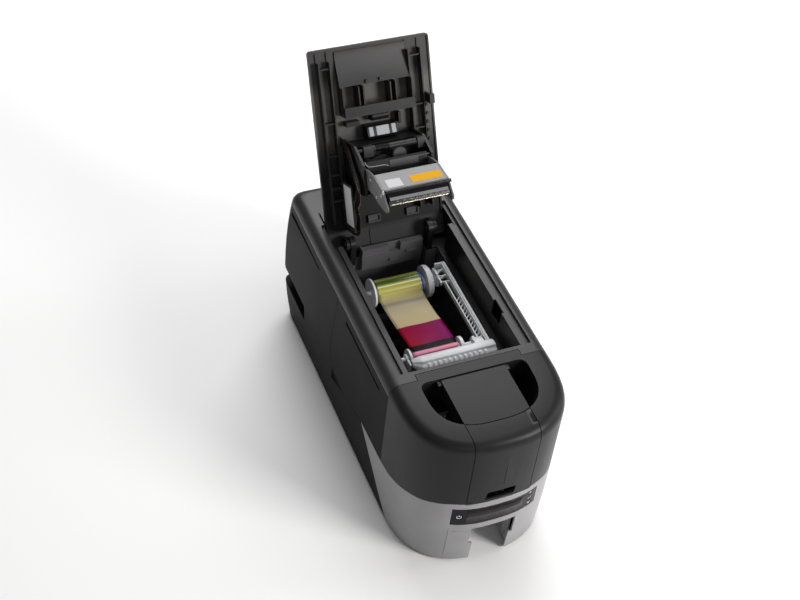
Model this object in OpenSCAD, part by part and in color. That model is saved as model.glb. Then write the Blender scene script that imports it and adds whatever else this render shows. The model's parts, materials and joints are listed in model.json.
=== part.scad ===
// Desktop ID card printer with its top cover swung open over the ribbon bay.
// Millimetres. +X is right, +Y is back, +Z is up. The origin lies on the table
// under the middle of the open printer, so the front of the body is at -Y.

/* [Body] */
// Width across the side covers
body_w = 200; // [194:1:212]
// Length from the nose to the furthest point of the rear cover
body_l = 476; // [470:1:500]
// Height of the deck above the table
deck_z = 217; // [211:1:232]
// How far the nose stands ahead of the origin
front_reach = 241.7; // [236:0.1:250]
// Wall of the outer covers
wall = 2.6; // [2:0.1:3.2]
// Radius between the deck and the sides
edge_r = 14; // [10:0.5:18]
// Length of the rounded nose
nose_l = 101.7; // [96:0.1:108]
// Gap between neighbouring covers
seam = 0.5; // [0.3:0.1:0.8]
// Height of the rubber feet below the covers
foot_h = 3; // [2:0.5:5]
// Diameter of a rubber foot
foot_d = 16; // [10:1:20]

/* [Front] */
// Height of the line between the grey fascia and the black cowl at the nose
fascia_z = 115; // [111:1:118]
// Width of the front door
door_w = 81; // [76:1:84]
// Width of the card notch in the fascia
notch_w = 57; // [56:1:62]
// Height of the card notch
notch_z = 66; // [62:1:68]
// Width of the display window
window_w = 108; // [100:1:112]
// Lower edge of the display window
window_z = 75; // [73:1:78]
// Height of the display window
window_h = 30; // [26:1:31]

/* [Hopper] */
// Width of the hopper recess in the deck
hopper_w = 132; // [124:1:136]
// Length of the hopper recess
hopper_l = 74.8; // [70:0.1:78]
// Distance from the nose to the hopper recess
hopper_front = 33.3; // [31:0.1:36]
// Width of the hopper flap
flap_w = 80; // [74:1:81]

/* [Ribbon bay] */
// Width of the bay opening
bay_w = 141.2; // [139:0.2:144]
// Distance from the nose to the bay opening
bay_front = 128; // [126.5:0.1:131]
// Distance from the nose to the cover hinge
hinge_back = 357.9; // [354:0.1:362]
// Depth of the hinge below the deck
hinge_drop = 13.9; // [13:0.1:16]

/* [Top cover] */
// Width of the top cover
lid_w = 157.5; // [153:0.5:158]
// Thickness of the top cover plate
lid_t = 3; // [2.4:0.1:3.6]
// Length of the top cover ahead of the hinge
lid_l = 243.9; // [242:0.1:245]
// Depth of the rim under the plate
lid_rim = 2; // [1.5:0.1:3]
// Length of the tail behind the hinge
tail_l = 16; // [12:1:17]
// Gap under the closed cover
lid_gap = 0.4; // [0.3:0.1:0.8]
// Opening angle of the cover, as it stands
lid_open = 116.4; // [110:0.1:116.4]

/* [Print line] */
// Depth of the print line below the deck
print_drop = 127; // [124:0.5:130]
// Distance of the print line ahead of the hinge
print_lead = 77.9; // [76:0.1:80]
// Diameter of the platen roller
platen_d = 16; // [14:1:18]
// Diameter of the feed rollers
feed_d = 14; // [12:1:15]
// Diameter of the roller shafts
shaft_d = 6; // [5:0.5:7]
// Width of the rollers
roller_w = 62; // [58:1:66]

/* [Ribbon] */
// Width of the dye film
film_w = 58; // [55:1:59]
// Offset of the film from the centre
film_x = -8; // [-10:1:-6]
// Diameter of the full supply roll
supply_d = 30; // [24:1:32]
// Diameter of the spool flanges
flange_d = 42; // [38:1:43]
// Depth of the supply spool below the deck
supply_drop = 57; // [56:1:60]
// Distance of the supply spool ahead of the hinge
supply_lead = 50; // [49:0.1:51]
// Diameter of the take-up roll
takeup_d = 19; // [16:1:21]
// Distance of the take-up spool ahead of the hinge
takeup_lead = 170.2; // [169:0.1:172]
// Depth of the take-up spool below the deck
takeup_drop = 51; // [49:1:53]

/* [Hidden] */
$fn = 48;
hull_fn = 32;
eps = 0.01;
far = 600;

front_y = -front_reach;
rear_y = front_y + body_l;
half_w = body_w / 2;
nose_y = front_y + nose_l;
base_z = foot_h;
fillet_z = deck_z - edge_r;
side_top_z = fillet_z - 3;
slack = 0.3;
run_gap = 0.05;

// ---- Outer form of the covers: rings of points from the table to the deck ----

nose_power = 2.5;
nose_steps = 32;
corner_r = 14;
corner_steps = 4;
draft_top_z = 80;
draft_in = 3;
bulge_z = 98;
bulge_low = 18;
bulge_high = 15;
wall_rows = 8;
fillet_rows = 6;

function signed_pow(v, p) = sign(v) * pow(abs(v), p);
function super_point(a, b, n, t) = [a * signed_pow(cos(t), 2 / n), b * signed_pow(sin(t), 2 / n)];

// Where the nose lies, at a distance x from the middle
function nose_at(x) = nose_y - nose_l * pow(1 - pow(x / half_w, nose_power), 1 / nose_power);

// Plan outline, drawn anticlockwise from the left end of the nose
function plan_outline(inset, back_y) = concat(
    [for (i = [0 : nose_steps])
        let (p = super_point(half_w - inset, nose_l - inset, nose_power, 180 + 180 * i / nose_steps))
        [p[0], nose_y + p[1]]],
    [for (i = [0 : corner_steps])
        let (t = 90 * i / corner_steps)
        [half_w - inset - corner_r + corner_r * cos(t), back_y - inset - corner_r + corner_r * sin(t)]],
    [for (i = [0 : corner_steps])
        let (t = 90 + 90 * i / corner_steps)
        [inset + corner_r - half_w + corner_r * cos(t), back_y - inset - corner_r + corner_r * sin(t)]]);

function draft(z) = z < draft_top_z
    ? draft_in * pow((draft_top_z - z) / (draft_top_z - base_z), 2) : 0;
function back_at(z) = z < bulge_z
    ? rear_y - bulge_low * pow((bulge_z - z) / (bulge_z - base_z), 2)
    : rear_y - bulge_high * pow((z - bulge_z) / (fillet_z - bulge_z), 2);

// Each ring is [height, inset, back]; skin is the distance inside the outer face
function wall_rings(skin, low_z) = [for (i = [0 : wall_rows])
    let (z = base_z + (fillet_z - base_z) * i / wall_rows)
    [i == 0 ? low_z : z, draft(z) + skin, back_at(z)]];
function fillet_rings(skin) = [for (i = [1 : fillet_rows])
    let (t = 90 * i / fillet_rows, r = edge_r - skin)
    [fillet_z + r * sin(t), skin + r * (1 - cos(t)), back_at(fillet_z)]];

module loft(rings) {
    count = len(plan_outline(0, rear_y));
    points = [for (ring = rings) for (p = plan_outline(ring[1], ring[2])) [p[0], p[1], ring[0]]];
    last = (len(rings) - 1) * count;
    sides = [for (k = [0 : len(rings) - 2]) for (i = [0 : count - 1])
        let (a = k * count + i, b = k * count + (i + 1) % count)
        for (f = [[a, a + count, b + count], [a, b + count, b]]) f];
    polyhedron(points, concat(sides, [[for (i = [0 : count - 1]) i]],
        [[for (i = [count - 1 : -1 : 0]) last + i]]));
}

module body_form(skin, low_z) {
    loft(concat(wall_rings(skin, low_z), fillet_rings(skin)));
}

module cover_shell() {
    difference() {
        body_form(0, base_z);
        body_form(wall, -1);
    }
}

// Side view outline [y, z] carried across the whole width
module side_prism(outline, width = 2 * far) {
    rotate([90, 0, 90])
        linear_extrude(width, center = true) polygon(outline);
}

module rod_x(d, x0, x1, y, z) {
    translate([x0, y, z]) rotate([0, 90, 0]) cylinder(d = d, h = x1 - x0);
}

module ring_x(d, bore, x0, x1, y, z) {
    translate([x0, y, z]) rotate([0, 90, 0]) difference() {
        cylinder(d = d, h = x1 - x0);
        translate([0, 0, -1]) cylinder(d = bore, h = x1 - x0 + 2);
    }
}

// Box from its two opposite corners
module span(a, b) {
    translate(a) cube(b - a);
}

module mirror_copy() {
    children();
    mirror([1, 0, 0]) children();
}

// ---- Seams between the covers, as [y, z] outlines seen from the side ----

cowl_seam_y = front_y + 113;
bridge_seam_y = front_y + 122.3;
bridge_half = 65;
rear_seam_y = front_y + 288.7;
tip_y = front_y + 177.7;
tip_z = 83;
toe_y = front_y + 86;

fascia_top = [[-far, fascia_z], [front_y + 10, fascia_z - 0.5], [front_y + 35, fascia_z - 9.5],
    [front_y + 52, fascia_z - 13.5], [front_y + 90, fascia_z - 25], [front_y + 115, fascia_z - 29.5],
    [tip_y, tip_z]];
fascia_back = [[front_y + 141, 52.6], [front_y + 107, 19.8], [toe_y, -1]];
skirt_top = [[tip_y, tip_z], [front_y + 232.2, 70], [front_y + 283.7, 51], [front_y + 357.7, 30],
    [front_y + 426.7, 28], [far, 28]];
rear_seam = [[rear_seam_y - 12, far], [rear_seam_y - 12, side_top_z], [rear_seam_y, 112.7],
    [rear_seam_y, 90], [rear_seam_y - 9.8, 76], [rear_seam_y - 9.8, 49]];

function reversed(list) = [for (i = [len(list) - 1 : -1 : 0]) list[i]];

module fascia_region() {
    translate([0, -1.5 * seam, -0.6 * seam])
        side_prism(concat([[-far, -1]], fascia_top, fascia_back));
}

module skirt_region() {
    translate([0, 0, -0.6 * seam])
        side_prism(concat([[far, -1]], [for (p = reversed(fascia_back)) p], skirt_top));
}

module above_skirt_region() {
    side_prism(concat(fascia_top, [for (i = [1 : len(skirt_top) - 1]) skirt_top[i]],
        [[far, far], [-far, far]]));
}

module behind_rear_seam() {
    side_prism(concat([for (p = rear_seam) [p[0] + seam, p[1]]],
        [[rear_seam_y - 9.8 + seam, -1], [far, -1], [far, far]]));
}

module ahead_of_rear_seam() {
    side_prism(concat(rear_seam, [[rear_seam_y - 9.8, -1], [-far, -1], [-far, far]]));
}

// The cowl reaches further back between the two jogs of its seam
module behind_cowl_seam(gap) {
    difference() {
        span([-far, cowl_seam_y + gap, -1], [far, far, far]);
        span([-bridge_half - gap, -far, -2], [bridge_half + gap, bridge_seam_y + gap, 2 * far]);
    }
}

// ---- Base ----

floor_z = base_z + 0.6;
floor_t = 3;
floor_top = floor_z + floor_t;
bay_half = bay_w / 2;
notch_half = notch_w / 2;
outlet_t = 2.4;
outlet_depth = 92;
outlet_back = front_y + outlet_depth;
foot_x = half_w - 24;
foot_front = front_y + 62;
foot_back = rear_y - 60;

module base_tray() color([0.09, 0.09, 0.1]) {
    intersection() {
        cover_shell();
        skirt_region();
    }
    difference() {
        translate([0, 0, floor_z]) linear_extrude(floor_t)
            polygon(plan_outline(draft_in + wall + slack, back_at(base_z)));
        span([-notch_half - outlet_t - slack, -far, -1],
            [notch_half + outlet_t + slack, outlet_back + slack, far]);
        for (x = [-screw_x, screw_x], y = screw_ys)
            translate([x, y, 0]) cylinder(d = screw_d + 2 * run_gap, h = far);
    }
    // Ribs that tie the floor to the skirt
    for (y = [-20 : 60 : 160])
        mirror_copy() span([half_w - wall - draft_in - 4, y, floor_z],
            [half_w - draft_in - 1.2, y + 2, 24]);
}

module rubber_feet() color([0.05, 0.05, 0.05]) {
    for (x = [-foot_x, foot_x], y = [foot_front, foot_back])
        translate([x, y, 0]) cylinder(d = foot_d, h = floor_z);
}

// ---- Side, rear and deck covers ----

slot_z = deck_z - 33;
slot_h = 3.2;
grip_z = 52;
grip_h = 24;
grip_in = 16;
grip_t = 2;
grip_y = front_y + 386;

module side_slot(y0, y1, rise) {
    side_prism([[y0, slot_z], [y1, slot_z], [y1, slot_z + slot_h + rise], [y0, slot_z + slot_h]]);
}

module side_covers() {
    difference() {
        intersection() {
            cover_shell();
            above_skirt_region();
            ahead_of_rear_seam();
            span([-far, cowl_seam_y + seam, -1], [far, far, side_top_z]);
        }
        side_slot(front_y + 138, front_y + 248, 1.5);
    }
}

module left_side_cover() color([0.13, 0.13, 0.14]) {
    intersection() {
        side_covers();
        span([-far, -far, -1], [0, far, far]);
    }
}

module right_side_cover() color([0.13, 0.13, 0.14]) {
    intersection() {
        side_covers();
        span([0, -far, -1], [far, far, far]);
    }
}

inlet_edge = 38;
inlet_x = half_w - inlet_edge;
inlet_z = 48;
inlet_w = 28;
inlet_h = 20.5;
socket_x = 8;
socket_z = 44;
usb_w = 12.4;
usb_h = 11.2;
lan_w = 16;
lan_h = 13.6;
socket_pitch = 26;
fit = 0.25;

module rear_openings() {
    span([inlet_x - inlet_w / 2 - fit, rear_y - 60, inlet_z - inlet_h / 2 - fit],
        [inlet_x + inlet_w / 2 + fit, far, inlet_z + inlet_h / 2 + fit]);
    span([socket_x - usb_w / 2 - fit, rear_y - 60, socket_z - usb_h / 2 - fit],
        [socket_x + usb_w / 2 + fit, far, socket_z + usb_h / 2 + fit]);
    span([socket_x - socket_pitch - lan_w / 2 - fit, rear_y - 60, socket_z - lan_h / 2 - fit],
        [socket_x - socket_pitch + lan_w / 2 + fit, far, socket_z + lan_h / 2 + fit]);
    for (i = [0 : 8])
        span([-60, rear_y - 60, 108 + 7 * i], [60, far, 111 + 7 * i]);
}

// Hand grip that runs off the back corner
module grip_cut() {
    intersection() {
        side_prism([[grip_y, grip_z + grip_h], [grip_y - 3, grip_z], [far, grip_z + 4],
            [far, grip_z + grip_h + 4]]);
        span([half_w - grip_in, -far, 0], [far, far, far]);
    }
}

module rear_cover() color([0.13, 0.13, 0.14]) {
    difference() {
        intersection() {
            cover_shell();
            above_skirt_region();
            behind_rear_seam();
            span([-far, -far, -1], [far, far, side_top_z]);
        }
        side_slot(front_y + 343, front_y + 447, 3.5);
        mirror_copy() grip_cut();
        rear_openings();
    }
    // Pockets behind the hand grips
    mirror_copy() intersection() {
        difference() {
            span([half_w - grip_in - grip_t, grip_y - 6, grip_z - 3],
                [half_w - 1, rear_y, grip_z + grip_h + 7]);
            grip_cut();
        }
        body_form(wall - 0.2, -1);
    }
}

hinge_y = front_y + hinge_back;
hinge_z = deck_z - hinge_drop;
bay_y = front_y + bay_front;
lid_half = lid_w / 2;
lid_top_z = deck_z + lid_gap + lid_rim + lid_t;
lid_face_r = lid_top_z - hinge_z;
lean = lid_open - 90;
well_gap = 1;
liner_t = 2.2;
well_half = lid_half + well_gap;
well_y = hinge_y - 15;
// Where the open cover leans across the deck
well_back = hinge_y + lid_face_r / cos(lean) + (deck_z - hinge_z) * tan(lean) + well_gap;
gutter_w = 6.5;
gutter_d = 4;
gutter_land = 6.9;
gutter_in = bay_half + gutter_land;
trough_z = deck_z - gutter_d - wall;
gutter_end = well_back - 2;
latch_y = front_y + 204;
latch_l = 23;
hook_in = 66;
hook_out = 72.4;

// Pocket beside the bay for the cover's latch hook
module latch_pocket() {
    span([bay_half - 1, latch_y - latch_l, deck_z - 23], [hook_out + 1.2, latch_y, far]);
}

module deck_cover() color([0.13, 0.13, 0.14]) {
    difference() {
        union() {
            intersection() {
                cover_shell();
                behind_cowl_seam(seam);
                span([-far, -far, side_top_z + seam], [far, far, far]);
            }
            // Troughs under the gutters
            mirror_copy() span([gutter_in - 2, bay_y - 2, trough_z],
                [gutter_in + gutter_w + 2, gutter_end + 2, deck_z - wall + eps]);
        }
        span([-bay_half, bay_y, 0], [bay_half, well_back, far]);
        span([-well_half, well_y, 0], [well_half, well_back, far]);
        mirror_copy() span([gutter_in, bay_y, deck_z - gutter_d],
            [gutter_in + gutter_w, gutter_end, far]);
        latch_pocket();
        // Relief slots behind the cover's corners
        mirror_copy() span([well_half - 2, well_back - 1, 0], [well_half, well_back + 20, far]);
    }
}

// ---- Front cowl, fascia, door and flap ----

door_half = door_w / 2;
door_gap = 0.7;
hopper_half = hopper_w / 2;
hopper_y = front_y + hopper_front;
hopper_back = hopper_y + hopper_l;
hopper_power = 2.8;
hopper_round = 58.4;
hopper_mid = hopper_y + hopper_round;
flap_half = flap_w / 2;
flap_axis_r = 3.4;
flap_axis_y = hopper_back - 0.4 - flap_axis_r;
flap_axis_z = deck_z - 0.1 - flap_axis_r;
flap_pin_d = 3;
door_axis_y = front_y + 12.7;
door_axis_z = fascia_z + 15;
door_bottom = fascia_z + 0.9;
door_swing_r = norm([12.7, door_axis_z - door_bottom]) + slack;
door_pin_d = 4;

// Recess outline in the deck, grown by extra; its front is the flap's curved seam
module hopper_outline(extra) {
    front = [for (i = [0 : 24])
        let (p = super_point(hopper_half + extra, hopper_round + extra, hopper_power, 180 + 7.5 * i))
        [p[0], hopper_mid + p[1]]];
    r = 9;
    back = hopper_back + extra;
    polygon(concat(front,
        [for (t = [0 : 22.5 : 90]) [hopper_half + extra - r + r * cos(t), back - r + r * sin(t)]],
        [for (t = [90 : 22.5 : 180]) [r - hopper_half - extra + r * cos(t), back - r + r * sin(t)]]));
}

module hopper_cut(extra, z0, z1) {
    translate([0, 0, z0]) linear_extrude(z1 - z0) hopper_outline(extra);
}

module door_region(half, gap) {
    difference() {
        span([-half, -far, door_bottom], [half, hopper_mid, far]);
        hopper_cut(gap, 0, far);
        span([-half - 1, hopper_y + 8, -1], [half + 1, far, far]);
    }
}

module front_cowl() color([0.13, 0.13, 0.14]) {
    difference() {
        intersection() {
            cover_shell();
            above_skirt_region();
            difference() {
                span([-far, -far, -1], [far, far, far]);
                behind_cowl_seam(0);
            }
        }
        hopper_cut(0, 0, far);
        span([-door_half, -far, 0], [door_half, hopper_mid, far]);
    }
    // Ears for the flap pins
    mirror_copy() difference() {
        span([flap_half + 0.6, flap_axis_y - 4, deck_z - 9],
            [flap_half + 4.6, hopper_back + 2, deck_z - wall]);
        rod_x(flap_pin_d, flap_half, flap_half + 6, flap_axis_y, flap_axis_z);
    }
    mirror_copy() span([flap_half + 0.6, hopper_back, deck_z - wall - eps],
        [flap_half + 4.6, hopper_back + 2, deck_z - wall / 2]);
    // Bosses for the door pins
    mirror_copy() difference() {
        intersection() {
            span([door_half, front_y + 2, door_axis_z - 5],
                [door_half + 6, door_axis_y + 5, door_axis_z + 5]);
            body_form(wall - 0.2, -1);
        }
        rod_x(door_pin_d, door_half - 1, door_half + 7, door_axis_y, door_axis_z);
    }
}

module window_cut(extra) {
    span([-window_w / 2 - extra, -far, window_z - extra],
        [window_w / 2 + extra, nose_y - 30, window_z + window_h + extra]);
}

lip_in = 5;
lip_z = 35.5;
groove_w = 0.6;

// Shallow grooves down from the window and across above the card notch
module fascia_grooves() {
    difference() {
        union() {
            span([-window_w / 2 - groove_w, -far, 14], [-window_w / 2, nose_y, window_z - 8]);
            span([2 - window_w / 2, -far, notch_z - 4.5],
                [-notch_half - 2, nose_y, notch_z - 4.5 + groove_w]);
        }
        body_form(0.7, -1);
    }
}

module front_fascia() color([0.52, 0.52, 0.54]) {
    difference() {
        intersection() {
            cover_shell();
            fascia_region();
        }
        span([-notch_half, -far, lip_z], [notch_half, nose_y, notch_z]);
        span([lip_in - notch_half, -far, -1], [notch_half - lip_in, nose_y, notch_z]);
        window_cut(0);
        fascia_grooves();
        // Hollow that lets the lower edge of the door swing
        rod_x(2 * door_swing_r, -door_half, door_half, door_axis_y, door_axis_z);
    }
}

lens_gap = 0.15;
lens_t = 1.8;
button_d = 8;
button_gap = 0.3;
button_in = 9;
button_pitch = 9.5;
button_z = window_z + window_h / 2;
power_x = -window_w / 2 + button_in;
keys_x = window_w / 2 - button_in;
key_l = 4.8;
key_face_y = nose_at(keys_x);

// The key face follows the nose, so a key is cut from the same lofted skin
module key_cut(x, z, d) {
    translate([x, front_y - 5, z]) rotate([-90, 0, 0]) cylinder(d = d, h = 40);
}

module display_lens() color([0.03, 0.03, 0.035]) {
    difference() {
        intersection() {
            difference() {
                body_form(0.3, base_z);
                body_form(0.3 + lens_t, -1);
            }
            window_cut(-lens_gap);
        }
        key_cut(power_x, button_z, button_d + 2 * button_gap);
        for (i = [-1 : 1])
            key_cut(keys_x, button_z + i * button_pitch, button_d + 2 * button_gap);
    }
}

module display_module() color([0.1, 0.2, 0.14]) {
    board_y = key_face_y + key_l + 2.6;
    span([-36, board_y - 7, window_z + 1], [34, board_y, window_z + window_h - 2]);
    span([-48, board_y, window_z - 1], [48, board_y + 1.6, window_z + window_h]);
}

module key_body(x, z) {
    intersection() {
        body_form(0.5, -1);
        key_cut(x, z, button_d);
        span([-far, -far, 0], [far, key_face_y + key_l, far]);
    }
}

module power_button() color([0.05, 0.05, 0.055]) key_body(power_x, button_z);
module up_button() color([0.05, 0.05, 0.055]) key_body(keys_x, button_z + button_pitch);
module enter_button() color([0.05, 0.05, 0.055]) key_body(keys_x, button_z);
module down_button() color([0.05, 0.05, 0.055]) key_body(keys_x, button_z - button_pitch);

module card_outlet() color([0.42, 0.42, 0.44]) {
    top = notch_z + outlet_t;
    slot_half = 27.6;
    difference() {
        union() {
            mirror_copy() span([notch_half, front_y + 12, base_z],
                [notch_half + outlet_t, outlet_back, top]);
            span([-notch_half - outlet_t, outlet_back - outlet_t, base_z],
                [notch_half + outlet_t, outlet_back, top]);
            span([-notch_half - outlet_t, front_y + 12, notch_z],
                [notch_half + outlet_t, front_y + 44, top]);
            mirror_copy() span([notch_half - 1.4, front_y + 20, base_z],
                [notch_half + eps, front_y + 24, 40]);
        }
        span([-slot_half, outlet_back - 10, notch_z - 9], [slot_half, far, notch_z - 4]);
    }
}

// Slot for single cards low on the door
module feed_slot() {
    translate([0, front_y, 0]) rotate([90, 0, 0]) linear_extrude(60, center = true)
        polygon([[-20, door_bottom + 3], [16, door_bottom + 3], [18, door_bottom + 7.5],
            [18, door_bottom + 15.5], [-17, door_bottom + 15.5], [-18, door_bottom + 7.5]]);
}

module front_door() color([0.13, 0.13, 0.14]) {
    difference() {
        intersection() {
            cover_shell();
            door_region(door_half - door_gap, door_gap);
        }
        feed_slot();
        // Witness line above the slot
        span([0.4, -far, fascia_z + 27], [1.2, front_y + 0.6, fascia_z + 63]);
    }
    mirror_copy() {
        // Hinge arms inside the lower corners
        difference() {
            intersection() {
                span([door_half - 6, front_y + 1, door_axis_z - 6],
                    [door_half - 1, door_axis_y + 4.5, door_axis_z + 22]);
                body_form(wall - 0.2, -1);
            }
            rod_x(door_pin_d + 2 * run_gap, door_half - 7, door_half, door_axis_y, door_axis_z);
        }
    }
}

module door_hinge_pins() color([0.6, 0.6, 0.62]) {
    mirror_copy() rod_x(door_pin_d, door_half - 5.6, door_half + 5.6, door_axis_y, door_axis_z);
}

module flap_hinge_pins() color([0.6, 0.6, 0.62]) {
    mirror_copy() rod_x(flap_pin_d, flap_half - 5.4, flap_half + 4.6, flap_axis_y, flap_axis_z);
}

flap_skirt = 22;

module hopper_flap() color([0.14, 0.14, 0.15]) {
    top = deck_z - 0.1;
    difference() {
        union() {
            intersection() {
                hopper_cut(-0.4, top - wall, top);
                span([-flap_half, -far, 0], [flap_half, flap_axis_y, far]);
            }
            rod_x(2 * flap_axis_r, -flap_half, flap_half, flap_axis_y, flap_axis_z);
            mirror_copy() span([flap_half - 2, hopper_y + 14, top - flap_skirt],
                [flap_half, flap_axis_y - 6, top - wall + eps]);
        }
        mirror_copy()
            rod_x(flap_pin_d + 2 * run_gap, flap_half - 6, flap_half + 1, flap_axis_y, flap_axis_z);
    }
}

liner_floor = deck_z - 52;

module hopper_liner() color([0.07, 0.07, 0.075]) {
    top = deck_z - wall;
    difference() {
        hopper_cut(2, liner_floor, top);
        hopper_cut(0, liner_floor + 2, far);
        // Open middle over the card hopper
        span([-door_half - 1, -far, 0], [door_half + 1, hopper_back - 8, far]);
        span([-flap_half - 5, hopper_back - 10, deck_z - 10], [flap_half + 5, far, far]);
    }
}

card_half = 27.2;
hopper_drop = 97;
hopper_floor = deck_z - hopper_drop;

module card_hopper() color([0.1, 0.1, 0.11]) {
    y0 = front_y + 19;
    y1 = hopper_back - 8.5;
    mirror_copy() span([card_half, y0, hopper_floor], [card_half + 2, y1, liner_floor - 0.5]);
    span([-card_half - 2, y1 - 2, hopper_floor + 3], [card_half + 2, y1, liner_floor - 0.5]);
    difference() {
        span([-card_half - 2, y0, hopper_floor - 2], [card_half + 2, y1, hopper_floor]);
        span([-pick_w / 2 - 2, pick_y - 10, 0], [pick_w / 2 + 2, pick_y + 10, far]);
    }
    // Feet down to the side frames
    mirror_copy() span([card_half + 2 - eps, pick_y + 12, hopper_floor - 2],
        [frame_x, pick_y + 18, hopper_floor + 10]);
}

// ---- Ribbon bay and side frames ----

frame_x = 64;
frame_t = 2;
ledge_z = deck_z - 43;
ledge_t = 2;
bay_wall_y = hinge_y + 4.8;
bracket_in = 49;
bracket_out = 56;
bracket_r = 9;
hinge_pin_d = 5;
liner_top = deck_z - wall;
stub_d = 6;
supply_y = hinge_y - supply_lead;
supply_z = deck_z - supply_drop;
takeup_y = hinge_y - takeup_lead;
takeup_z = deck_z - takeup_drop;
stub_slot = stub_d + 0.8;

module bay_liner() color([0.08, 0.08, 0.085]) {
    difference() {
        union() {
            // Walls down from the deck opening to the ledge
            mirror_copy() span([bay_half, bay_y, ledge_z - ledge_t],
                [bay_half + liner_t, well_y, liner_top]);
            span([-bay_half - liner_t, bay_y - liner_t, ledge_z - 24],
                [bay_half + liner_t, bay_y, liner_top]);
            // Ledge along both sides
            mirror_copy() span([frame_x - 1, bay_y, ledge_z - ledge_t],
                [well_half + liner_t, bay_wall_y, ledge_z]);
            // Well that takes the tail of the open cover
            span([-well_half - liner_t, bay_wall_y - eps, ledge_z - ledge_t],
                [well_half + liner_t, well_back + liner_t, ledge_z]);
            mirror_copy() span([well_half, well_y - liner_t, ledge_z - ledge_t],
                [well_half + liner_t, well_back + liner_t, trough_z]);
            mirror_copy() span([bay_half, well_y - liner_t, ledge_z - ledge_t],
                [well_half + liner_t, well_y, trough_z]);
            span([-well_half - liner_t, well_back, ledge_z - ledge_t],
                [well_half + liner_t, well_back + liner_t, trough_z]);
            // Hinge brackets with round tops
            mirror_copy() {
                rod_x(2 * bracket_r, bracket_in, bracket_out, hinge_y, hinge_z);
                span([bracket_in, hinge_y - bracket_r, ledge_z - eps], [bracket_out, hinge_y + 4, hinge_z]);
                span([bracket_in, hinge_y - bracket_r, ledge_z - ledge_t], [frame_x, bay_wall_y, ledge_z]);
            }
        }
        mirror_copy() rod_x(hinge_pin_d, bracket_in - 1, bracket_out + 1, hinge_y, hinge_z);
        latch_pocket();
        // Slots that drop the spools' stubs onto the left frame
        for (y = [supply_y, takeup_y])
            span([-bay_half - eps, y - stub_slot / 2, 0], [1 - frame_x + eps, y + stub_slot / 2, far]);
    }
}

box_left = -37;
box_right = 45;
box_t = 8;
box_top = ledge_z + 14;

module rear_bay_panel() color([0.1, 0.1, 0.105]) {
    difference() {
        union() {
            span([1 - frame_x, bay_wall_y, deck_z - 110],
                [frame_x - 1, bay_wall_y + 2, ledge_z - ledge_t - seam]);
            // Stepped box with a square slot
            span([box_left, bay_wall_y - box_t, deck_z - 64],
                [box_right, bay_wall_y, ledge_z - ledge_t - seam]);
            span([box_left, bay_wall_y - box_t, deck_z - 50], [box_right, bay_wall_y - slack, box_top]);
            // Lips on its face
            span([box_left - 2, bay_wall_y - box_t - 3, box_top - 14],
                [-9, bay_wall_y - box_t + eps, box_top - 11.5]);
            span([box_left - 2, bay_wall_y - box_t - 3, box_top - 14],
                [box_left, bay_wall_y - slack, box_top + 2]);
            span([22, bay_wall_y - box_t - 3, box_top - 15],
                [37, bay_wall_y - box_t + eps, box_top - 12.5]);
            span([0, bay_wall_y - box_t - 3, box_top - 25], [13, bay_wall_y - box_t + eps, box_top - 22.5]);
        }
        span([-2, bay_wall_y - box_t - 1, box_top - 12], [14, bay_wall_y - 2, far]);
    }
    // Gussets under the hinge brackets
    mirror_copy() span([bracket_in, bay_wall_y - 14, deck_z - 94],
        [frame_x - 1, bay_wall_y + eps, ledge_z - ledge_t - seam]);
}

// Card path: a straight line that falls from the hopper to the print line and beyond
print_y = hinge_y - print_lead;
print_z = deck_z - print_drop;
pick_y = front_y + 77;
infeed_y = front_y + 142;
cleaner_y = front_y + 168;
outfeed_y = front_y + 337;
path_start_y = hopper_back - 8;
path_slope = (hopper_floor - print_z) / (print_y - path_start_y);
function path_z(y) = print_z + (print_y - y) * path_slope;
feed_r = feed_d / 2;
card_gap = 0.6;
pick_z = hopper_floor - feed_r + 0.4;
infeed_z = path_z(infeed_y) - feed_r;
outfeed_z = path_z(outfeed_y) - feed_r;
platen_z = print_z - platen_d / 2;
cleaner_z = path_z(cleaner_y) + feed_r + card_gap;
flipper_front = outfeed_y + 33;
flipper_back = rear_y - 34;
flipper_y = (flipper_front + flipper_back) / 2;
flipper_z = deck_z - 142;
motor_y = front_y + 300;
motor_z = 46;
pulley_d = 14;
pick_w = 36;
frame_front = front_y + 52;
frame_back = rear_y - 40;
frame_top = ledge_z - ledge_t - seam;
screw_d = 3;
screw_x = frame_x + frame_t + 5;
screw_ys = [frame_front + 20, frame_back - 20];
foot_flange_t = 1.6;

module side_frame(x0) {
    holes = [[pick_y, pick_z], [infeed_y, infeed_z], [cleaner_y, cleaner_z], [print_y, platen_z],
        [outfeed_y, outfeed_z], [flipper_y, flipper_z]];
    difference() {
        translate([x0, 0, 0]) rotate([90, 0, 90]) linear_extrude(frame_t)
            polygon([[frame_front, floor_top], [frame_back, floor_top], [frame_back, flipper_z + 16],
                [bay_wall_y + 2, flipper_z + 16], [bay_wall_y + 2, frame_top], [bay_y + seam, frame_top],
                [bay_y + seam, hopper_floor + 16], [frame_front, hopper_floor + 16]]);
        for (h = holes)
            rod_x(shaft_d + 2 * run_gap, x0 - 1, x0 + frame_t + 1, h[0], h[1]);
    }
}

// Foot flanges that the case screws hold to the floor
module frame_feet() {
    for (y = screw_ys)
        difference() {
            span([frame_x + frame_t - eps, y - 8, floor_top],
                [screw_x + 6, y + 8, floor_top + foot_flange_t]);
            translate([screw_x, y, 0]) cylinder(d = screw_d + 2 * run_gap, h = far);
        }
}

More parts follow.
